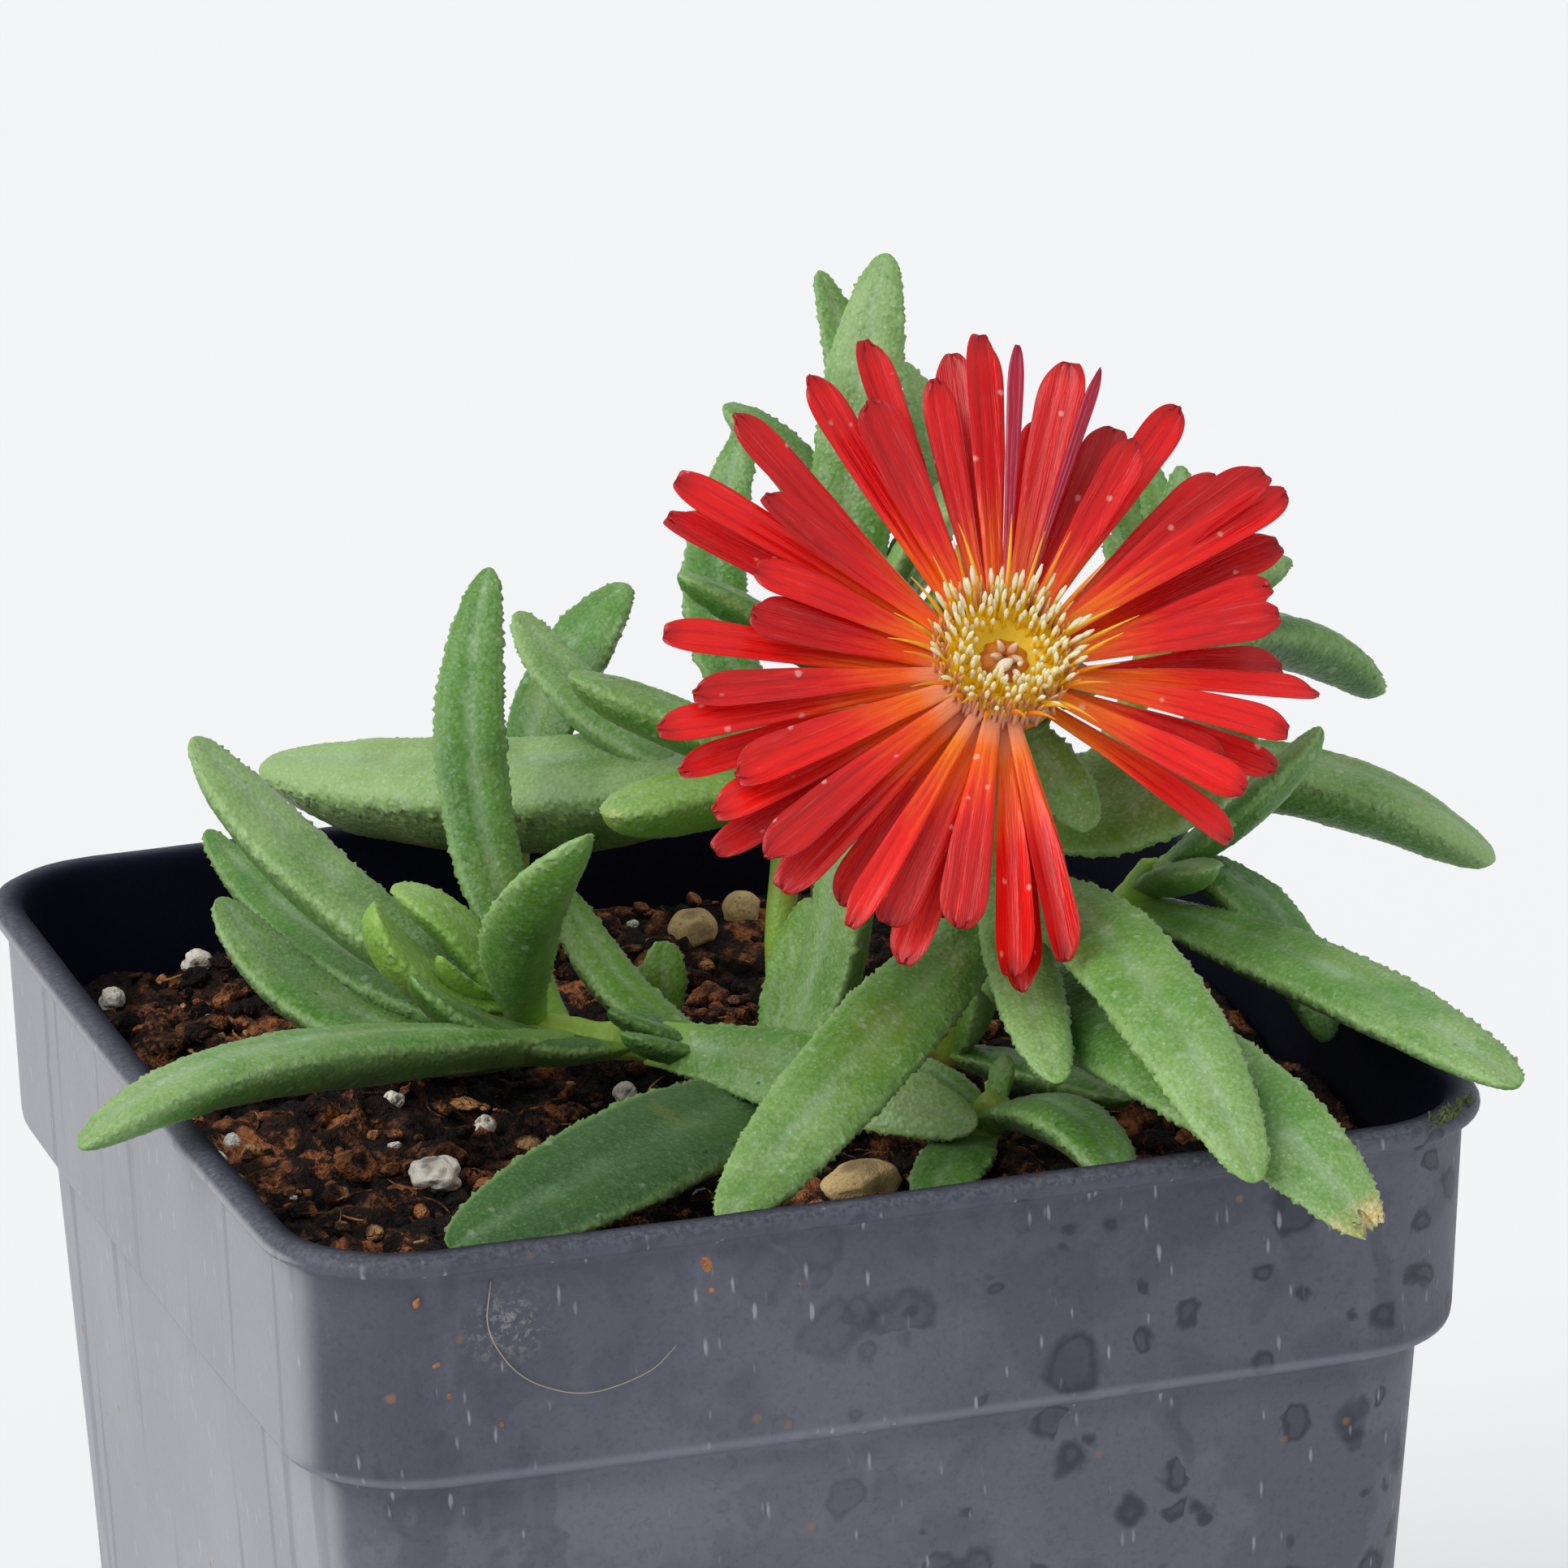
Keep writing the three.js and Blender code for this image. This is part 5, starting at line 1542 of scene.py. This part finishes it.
def petal_shell(bearing, length, breadth, number, flower, random):
    """One petal: a thin lens-shaped section on a bent blade.

    Its height over the blade's plane is a trough x²·cup, three lengthwise folds cos(3πx) that run out at the
    tip, and a slow wave along it. The tip is a little uneven. Folded petals have a deep trough.
    """
    layer = number % 3
    uphill = math.cos(math.radians(bearing))
    blade = {
        "heading": -bearing + random.uniform(-1.2, 1.2),
        "rise": 6 + 4 * uphill + 2.6 * (layer - 1),
        "droop": 8 - 12 * uphill + random.uniform(-5, 5),
        "turn": random.uniform(-4, 4),
        "roll": random.uniform(-10, 10),
        "twist": random.uniform(-14, 14),
        "length": length * MM,
    }
    turn = math.radians(bearing)
    base = np.array([math.cos(turn), -math.sin(turn), 0]) * flower.petal_root
    base[2] = 0.65 * MM + flower.layer_step * layer
    slim = random.uniform(0.72, 1.0) * breadth
    folded = FOLDED_BEARINGS[0] <= bearing <= FOLDED_BEARINGS[1]
    cup = (FOLDED_CUP if folded else random.uniform(0.1, 0.8)) * MM
    fold = random.uniform(0.06, 0.15) * MM
    wave, phase = random.uniform(0.1, 0.35) * MM, random.uniform(0, 6.3)
    angle = even_angles(PETAL_COLUMNS)
    marks = np.linspace(0, 1, PETAL_ROWS + 1)[:-1]
    shares = 1 - (1 - marks) ** 1.35
    share, turn_round = np.meshgrid(shares, angle, indexing="ij")
    x = np.cos(turn_round)
    ragged = 0.018 * np.sin(4 * x + phase) + 0.012 * np.sin(9 * x + 2 * phase)
    reach = np.minimum(share * (1 + ragged * share**8), 1)
    half = 0.5 * slim * petal_width(share)
    if folded:
        half = half * FOLDED_WIDTH
    open_share = smooth_step(share, 0.05, 0.35)
    lift = cup * (x**2) * open_share * (half / (1.5 * MM)) ** 2
    lift = lift + fold * np.cos(3 * math.pi * x) * open_share * (1 - 0.5 * share)
    lift = lift + wave * np.sin(4.5 * share + phase) * share
    lens = 0.5 * flower.petal_thickness * np.sin(turn_round) * (1.6 - share)
    _, side, upper = blade_frame(blade, reach)
    points = blade_line(base, blade, reach) + (half * x)[..., None] * side + (lift + lens)[..., None] * upper
    end_lift = wave * math.sin(4.5 + phase)
    _, _, end_upper = blade_frame(blade, np.array([1.0]))
    tip = blade_line(base, blade, np.array([0.999])) + end_lift * end_upper
    skin = np.concatenate([points.reshape(-1, 3), base[None], tip])
    return Shell(skin, tube_faces(PETAL_ROWS, PETAL_COLUMNS)).marked(
        share=np.append(share, [0, 1]),
        across=np.append(x, [0, 0]),
        tint=random.uniform(0, 1),
        warm=0.5 - 0.5 * uphill,
        left=smooth_step(math.sin(math.radians(bearing - 135)), 0.1, 0.9),
        magenta=1.0 if breadth < SLIM_PETAL else 0.0,
        streak_x=np.append(x * half / MM + 7.3 * number, [0, 0]),
    )


def petal_material(flower):
    """Satin petals: orange at the base, most on the downhill side, red beyond, and dark along the tip's edge.

    The claws on the lower left are a pale blush. Streaks run along each petal, from noise read across it and
    hardly along it. Painted light: downhill petals a brighter red, painted shade in the folds, a painted pink
    sheen on the ridges and painted glints.
    """
    material, tree, shader = new_material("petal_satin")
    share, across = attribute(tree, "share"), attribute(tree, "across")
    tint = attribute(tree, "tint")
    lengthways = times(tree, share, 1.6)
    along_petal = put(
        tree, "ShaderNodeCombineXYZ", X=attribute(tree, "streak_x"), Y=lengthways, Z=tint
    ).outputs[0]
    streaks = noise(tree, along_petal, 2.6, 3.0, 0.65)
    veins = noise(tree, stretched(tree, along_petal, (1.0, 0.3, 1.0)), 9.0, 2.0, 0.5)
    front = times_plus(tree, calculate(tree, "SUBTRACT", streaks, 0.5), 0.55, share)
    front = times_plus(tree, tint, 0.12, front)
    front = times_plus(tree, attribute(tree, "warm"), -0.1, front)
    # Painted light: the downhill petals are painted a brighter red, for the light that shines through them.
    red_lit_through = colour_mix(tree, attribute(tree, "warm"), flower.red, srgb(255, 26, 16))
    colour = colour_mix(tree, between(tree, front, 0.17, 0.55), flower.orange, red_lit_through)
    colour = colour_mix(tree, between(tree, front, 0.04, 0.24, 0.6, 0.0), colour, srgb(255, 158, 30))
    claw = times(tree, between(tree, share, 0.04, 0.2, 0.85, 0.0), attribute(tree, "left"))
    colour = colour_mix(tree, claw, colour, srgb(244, 170, 138))
    # Painted shade, with some real dark veins: darker streaks where the petals' folds lie in shadow.
    fold_and_vein_shade = between(tree, calculate(tree, "ADD", tint, streaks), 0.85, 1.4, 0.0, 0.6)
    fold_and_vein_shade = times(tree, fold_and_vein_shade, between(tree, share, 0.3, 0.7))
    colour = colour_mix(tree, fold_and_vein_shade, colour, flower.deep)
    off_middle = calculate(tree, "ABSOLUTE", across)
    # Painted shade: dark lines in the valleys between the petal's folds.
    from_valley = calculate(tree, "ABSOLUTE", calculate(tree, "SUBTRACT", off_middle, 0.36))
    crease_shade = times(tree, between(tree, from_valley, 0.0, 0.16, 0.5, 0.0), between(tree, share, 0.2, 0.5))
    crease_shade = times(tree, crease_shade, between(tree, streaks, 0.35, 0.6))
    colour = colour_mix(tree, crease_shade, colour, flower.deep)
    # Painted sheen: pink highlights along the raised ridges.
    bloom = between(tree, veins, 0.58, 0.76, 0.0, 0.42)
    bloom = times(tree, bloom, between(tree, share, 0.3, 0.75))
    colour = colour_mix(tree, bloom, colour, flower.pink)
    edge = between(tree, off_middle, 0.82, 1.0)
    tip = between(tree, share, 0.9, 1.0)
    rim = calculate(tree, "MAXIMUM", times(tree, edge, 0.4), times(tree, tip, 0.75))
    rim = times(tree, rim, between(tree, share, 0.4, 0.8))
    colour = colour_mix(tree, rim, colour, flower.deep)
    colour = colour_mix(tree, times(tree, attribute(tree, "magenta"), 0.7), colour, srgb(150, 30, 70))
    place = object_place(tree)
    # Painted highlights: small pale spots, the glints of wet droplets on the petals.
    pollen = spotted(tree, place, 700.0, 0.13, 0.2)
    colour = colour_mix(tree, times(tree, pollen["Spot"], 0.6), colour, srgb(250, 190, 180))
    height = times_plus(tree, veins, 0.6, streaks)
    gloss = between(tree, streaks, 0.3, 0.7, 0.2, 0.4)
    finish_shader(
        tree,
        shader,
        height,
        0.0002,
        0.6,
        Base_Color=colour,
        Roughness=gloss,
        Subsurface_Weight=0.2,
        Subsurface_Radius=(1.0, 0.25, 0.1),
        Subsurface_Scale=0.001,
        Coat_Weight=0.12,
        Coat_Roughness=0.1,
        Specular_IOR_Level=0.4,
    )
    return material


class ICEPLANT_OT_petals(Operator):
    """Build the ring of layered red petals"""

    bl_idname = "ice_plant.petals"
    bl_label = "Petals"

    def execute(self, context):
        flower = context.scene.ice_plant.flower
        random = np.random.default_rng(5)
        profile = np.array([[2.5, 0.1], [4.3, 0.1], [4.7, 1.2], [4.4, 2.6], [3.6, 3.0], [2.5, 3.0]]) * MM
        ring = turned_shell(rounded_line(profile, 0.5 * MM, 5), 60)
        shells = [ring.marked(share=0)]
        for number, (bearing, length, breadth) in enumerate(PETALS):
            shells.append(petal_shell(bearing, length, breadth, number, flower, random))
        shells = [place_in_flower(shell, flower) for shell in shells]
        piece = make_piece("petal_ring", put_together(shells), petal_material(flower))
        seat_piece(piece, "petal", "petals")
        return {"FINISHED"}


def thread_shell(radius, angle, lean, length, curl, kind, random):
    """One thread of the bloom's middle: a tapering strand, with a long pollen sac at the end of some.

    It starts at the radius from the axis and leans outwards by lean, more by the curl towards its end.
    """
    out = np.array([math.cos(angle), math.sin(angle), 0])
    t = np.linspace(0, 1, 8)
    tilt = np.radians(lean + curl * t)
    steps = np.cos(tilt)[:, None] * np.array([0, 0, 1]) + np.sin(tilt)[:, None] * out
    start = out * radius + np.array([0, 0, kind["foot"]])
    line = start + np.cumsum(np.vstack([np.zeros(3), steps[:-1]]), axis=0) * length / 7
    radii = np.interp(t, kind["marks"], kind["radii"]) * MM
    columns = 6
    share = np.append(np.repeat(t, columns), [0, 1])
    shell = strand_shell(line, radii, columns)
    return shell.marked(share=share, kind=kind["number"], tint=random.uniform(0, 1))


SAC = {"number": 0, "foot": 2.9 * MM, "marks": (0, 0.66, 0.74, 0.9, 1), "radii": (0.14, 0.1, 0.18, 0.2, 0.08)}
TAPER = {"number": 1, "foot": 3.0 * MM, "marks": (0, 0.5, 1), "radii": (0.2, 0.16, 0.03)}
COLLAR = {"number": 2, "foot": 1.9 * MM, "marks": (0, 0.6, 1), "radii": (0.17, 0.15, 0.06)}

# Circles of threads: radius, count, lean, length, curl and kind. The lean is greater on the uphill side.
THREADS = [
    (2.6, 18, -3, 2.2, 4, SAC),
    (2.95, 28, -1, 3.0, 8, SAC),
    (3.25, 36, 2, 3.7, 10, SAC),
    (3.6, 36, 9, 4.1, 12, SAC),
    (4.0, 32, 18, 4.4, 14, SAC),
    (4.3, 24, 34, 7.0, 28, TAPER),
    (4.35, 60, 2, 4.0, 14, COLLAR),
    (4.6, 66, 0, 3.8, 14, COLLAR),
    (4.85, 66, -4, 3.4, 10, COLLAR),
]


def thread_shells():
    """The yellow middle: circles of stamens, slim threads without sacs round them, and a collar of bases."""
    random = np.random.default_rng(17)
    profile = np.array([[2.3, 2.9], [4.6, 2.9], [4.6, 3.4], [4.2, 3.8], [2.6, 3.5], [2.3, 3.2]]) * MM
    ring = turned_shell(rounded_line(profile, 0.3 * MM, 4), 60)
    shells = [ring.marked(share=0.3, tint=0.5)]
    for radius, count, lean, length, curl, kind in THREADS:
        for number in range(count):
            angle = 2 * math.pi * (number + 0.7 * random.uniform()) / count
            shells.append(
                thread_shell(
                    (radius + random.uniform(-0.15, 0.15)) * MM,
                    angle,
                    lean + 9 * math.cos(angle) + random.uniform(-13, 13),
                    length * random.uniform(0.8, 1.1) * (0.9 + 0.08 * math.cos(angle)) * MM,
                    curl + random.uniform(-22, 22),
                    kind,
                    random,
                )
            )
    return shells


def thread_material(flower):
    """Threads by kind: cream sacs on yellow filaments, orange-yellow threads, and a blush collar."""
    material, tree, shader = new_material("stamen_threads")
    share, kind, tint = (attribute(tree, name) for name in ("share", "kind", "tint"))
    place = object_place(tree)
    mottle = mottled(tree, place, 700.0, 4500.0)
    filament = colour_mix(tree, between(tree, share, 0.0, 0.4), srgb(255, 184, 10), flower.yellow)
    sac = colour_mix(tree, times(tree, tint, 0.4), flower.cream, srgb(255, 236, 150))
    with_sac = colour_mix(tree, between(tree, share, 0.64, 0.72), filament, sac)
    slim = colour_mix(tree, between(tree, tint, 0.2, 0.8), srgb(253, 138, 14), srgb(252, 176, 36))
    collar = colour_mix(tree, between(tree, share, 0.7, 1.0, 0.0, 0.5), flower.blush, flower.yellow)
    collar = colour_mix(tree, times(tree, mottle["Patches"], 0.35), collar, srgb(206, 140, 98))
    colour = colour_mix(tree, between(tree, kind, 0.4, 0.6), with_sac, slim)
    colour = colour_mix(tree, between(tree, kind, 1.4, 1.6), colour, collar)
    finish_shader(
        tree,
        shader,
        mottle["Grain"],
        0.00004,
        0.5,
        Base_Color=colour,
        Roughness=0.5,
        Subsurface_Weight=0.4,
        Subsurface_Radius=(1.0, 0.8, 0.3),
        Subsurface_Scale=0.001,
    )
    return material


# Pale grains on the seed vessel, in millimetres in the bloom's own frame: place and size.
GRAINS = [
    (-0.9, 0.35, 4.2, 0.62), (-1.5, -0.5, 3.9, 0.36), (-1.55, 0.75, 3.8, 0.34), (-0.7, -0.9, 4.0, 0.3),
]


def ovary_shells():
    """The seed vessel: a low dome with ten ribs, five short curved lobes on it and a few pale grains."""
    dome_profile = np.array([[2.1, 0.3], [2.1, 2.6], [1.6, 3.5], [0.7, 3.8], [0.2, 3.7]]) * MM
    dome = turned_shell(rounded_line(dome_profile, 0.5 * MM, 6), 60, 0.05, 10)
    shells = [dome.marked(pale=0)]
    columns = 8
    for lobe in range(5):
        angle = 2 * math.pi * (lobe + 0.3) / 5
        out = np.array([math.cos(angle), math.sin(angle), 0])
        t = np.linspace(0, 1, 7)[:, None]
        line = out * (0.45 + 0.75 * t**1.5) * MM + np.array([0, 0, 1]) * (3.5 + 1.5 * t - 0.7 * t**2) * MM
        shell = strand_shell(line, np.array([0.42, 0.4, 0.36, 0.3, 0.24, 0.17, 0.08]) * MM, columns)
        shells.append(shell.marked(pale=np.append(np.repeat(t[:, 0], columns), [0, 1]) * 0.75))
    random = np.random.default_rng(23)
    for x, y, z, size in GRAINS:
        seed = int(random.integers(99))
        shell = lump_shell(
            np.array([x, y, z]) * MM,
            np.array([size * 1.3, size * 0.8, size * 0.8]) * MM,
            turn_about((0, 0, 1), random.uniform(0, 180)),
            10,
            16,
            uneven(seed, 0.92, 0.15, 0.8),
        )
        shells.append(shell.marked(pale=1))
    return shells


def ovary_material(flower):
    """Orange-brown flesh, paler on the lobes' ends and cream on the grains."""
    material, tree, shader = new_material("seed_vessel")
    place = object_place(tree)
    mottle = mottled(tree, place, 1100.0, 5000.0)
    colour = colour_mix(tree, mottle["Both"], srgb(176, 88, 12), flower.seed_vessel)
    colour = colour_mix(tree, between(tree, attribute(tree, "pale"), 0.1, 0.9), colour, srgb(250, 236, 214))
    finish_shader(tree, shader, mottle["Grain"], 0.00005, 0.6, Base_Color=colour, Roughness=0.45)
    return material


class ICEPLANT_OT_flower_middle(Operator):
    """Build the stamens and the seed vessel in the middle of the bloom"""

    bl_idname = "ice_plant.flower_middle"
    bl_label = "Flower middle"

    def execute(self, context):
        flower = context.scene.ice_plant.flower
        for name, shells, material, slot, node in (
            ("stamen_crown", thread_shells(), thread_material(flower), "stamen", "stamens"),
            ("seed_vessel", ovary_shells(), ovary_material(flower), "ovary", "ovary"),
        ):
            placed = [place_in_flower(shell, flower) for shell in shells]
            seat_piece(make_piece(name, put_together(placed), material), slot, node)
        return {"FINISHED"}


# Stage.

# Where the window light comes from, and how far the floor lies under the pot's foot.
LIGHT_FROM = (-0.72, -0.12, 0.68)
FLOOR_GAP = 0.0002


def camera_axes(stage):
    """Right, up and back of the camera from its yaw, pitch and roll."""
    yaw, pitch, roll = stage.yaw, stage.pitch, stage.roll
    back = Vector((math.sin(yaw) * math.cos(pitch), -math.cos(yaw) * math.cos(pitch), math.sin(pitch)))
    level = Vector((math.cos(yaw), math.sin(yaw), 0))
    upright = back.cross(level)
    right = math.cos(roll) * level + math.sin(roll) * upright
    up = math.cos(roll) * upright - math.sin(roll) * level
    return right, up, back


def add_camera(stage, pot):
    right, up, back = camera_axes(stage)
    aimed = Vector((0, 0, pot.height)) + right * stage.aim_right + up * stage.aim_up
    camera = bpy.data.objects.new("camera", bpy.data.cameras.new("camera"))
    camera.data.lens = stage.lens
    camera.data.sensor_width = 36
    camera.data.clip_start = 0.01
    turn = Matrix((right, up, back)).transposed().to_4x4()
    camera.matrix_world = Matrix.Translation(aimed + back * stage.distance) @ turn
    bpy.context.scene.collection.objects.link(camera)
    bpy.context.scene.camera = camera


def add_window_light(stage):
    """An even, very soft light from the upper left."""
    light = bpy.data.lights.new("window_light", "SUN")
    light.energy = stage.key
    light.angle = stage.key_spread
    light.color = (1.0, 0.985, 0.96)
    lamp = bpy.data.objects.new("window_light", light)
    lamp.rotation_euler = Vector(LIGHT_FROM).to_track_quat("Z", "Y").to_euler()
    bpy.context.scene.collection.objects.link(lamp)


def add_floor(stage):
    """A wide flat pale floor under the pot's foot."""
    reach = 6.0
    corners = np.array([[-reach, -reach, 0], [reach, -reach, 0], [reach, reach, 0], [-reach, reach, 0]])
    material, tree, shader = new_material("pale_floor")
    finish_shader(tree, shader, Base_Color=stage.floor, Roughness=0.9, Specular_IOR_Level=0.1)
    floor = make_piece("floor", Shell(corners - [0, 0, FLOOR_GAP], [np.array([[0, 1, 2, 3]])]), material)


class ICEPLANT_OT_stage(Operator):
    """Add the pale floor, the white room, the window light and the camera"""

    bl_idname = "ice_plant.stage"
    bl_label = "Stage"

    def execute(self, context):
        stage = context.scene.ice_plant.stage
        add_floor(stage)
        world = bpy.data.worlds.new("white_room")
        world.use_nodes = True
        sky = world.node_tree.nodes["Background"]
        sky.inputs["Color"].default_value = (0.96, 0.98, 1.0, 1)
        sky.inputs["Strength"].default_value = stage.sky
        context.scene.world = world
        add_window_light(stage)
        add_camera(stage, context.scene.ice_plant.pot)
        context.scene.view_settings.view_transform = "Standard"
        return {"FINISHED"}


STEPS = (
    ICEPLANT_OT_pot,
    ICEPLANT_OT_soil,
    ICEPLANT_OT_stones,
    ICEPLANT_OT_leafy_stems,
    ICEPLANT_OT_petals,
    ICEPLANT_OT_flower_middle,
    ICEPLANT_OT_stage,
)


class ICEPLANT_PT_sidebar(Panel):
    """Lists the settings and the steps that build the potted plant"""

    bl_label = "Ice Plant"
    bl_space_type = "VIEW_3D"
    bl_region_type = "UI"
    bl_category = "Ice Plant"

    def draw(self, context):
        for step in STEPS:
            self.layout.operator(step.bl_idname)
        plant = context.scene.ice_plant
        for group in (plant.pot, plant.soil, plant.leaf, plant.flower, plant.stage):
            box = self.layout.box()
            for name in type(group).__annotations__:
                box.prop(group, name)


CLASSES = (
    PotSettings,
    SoilSettings,
    LeafSettings,
    FlowerSettings,
    StageSettings,
    PlantSettings,
    *STEPS,
    ICEPLANT_PT_sidebar,
)


def register():
    for made in CLASSES:
        bpy.utils.register_class(made)
    bpy.types.Scene.ice_plant = PointerProperty(type=PlantSettings)


def unregister():
    del bpy.types.Scene.ice_plant
    for made in reversed(CLASSES):
        bpy.utils.unregister_class(made)


def main():
    register()
    bpy.ops.ice_plant.pot()
    bpy.ops.ice_plant.soil()
    bpy.ops.ice_plant.stones()
    bpy.ops.ice_plant.leafy_stems()
    bpy.ops.ice_plant.petals()
    bpy.ops.ice_plant.flower_middle()
    bpy.ops.ice_plant.stage()


if __name__ == "__main__":
    main()
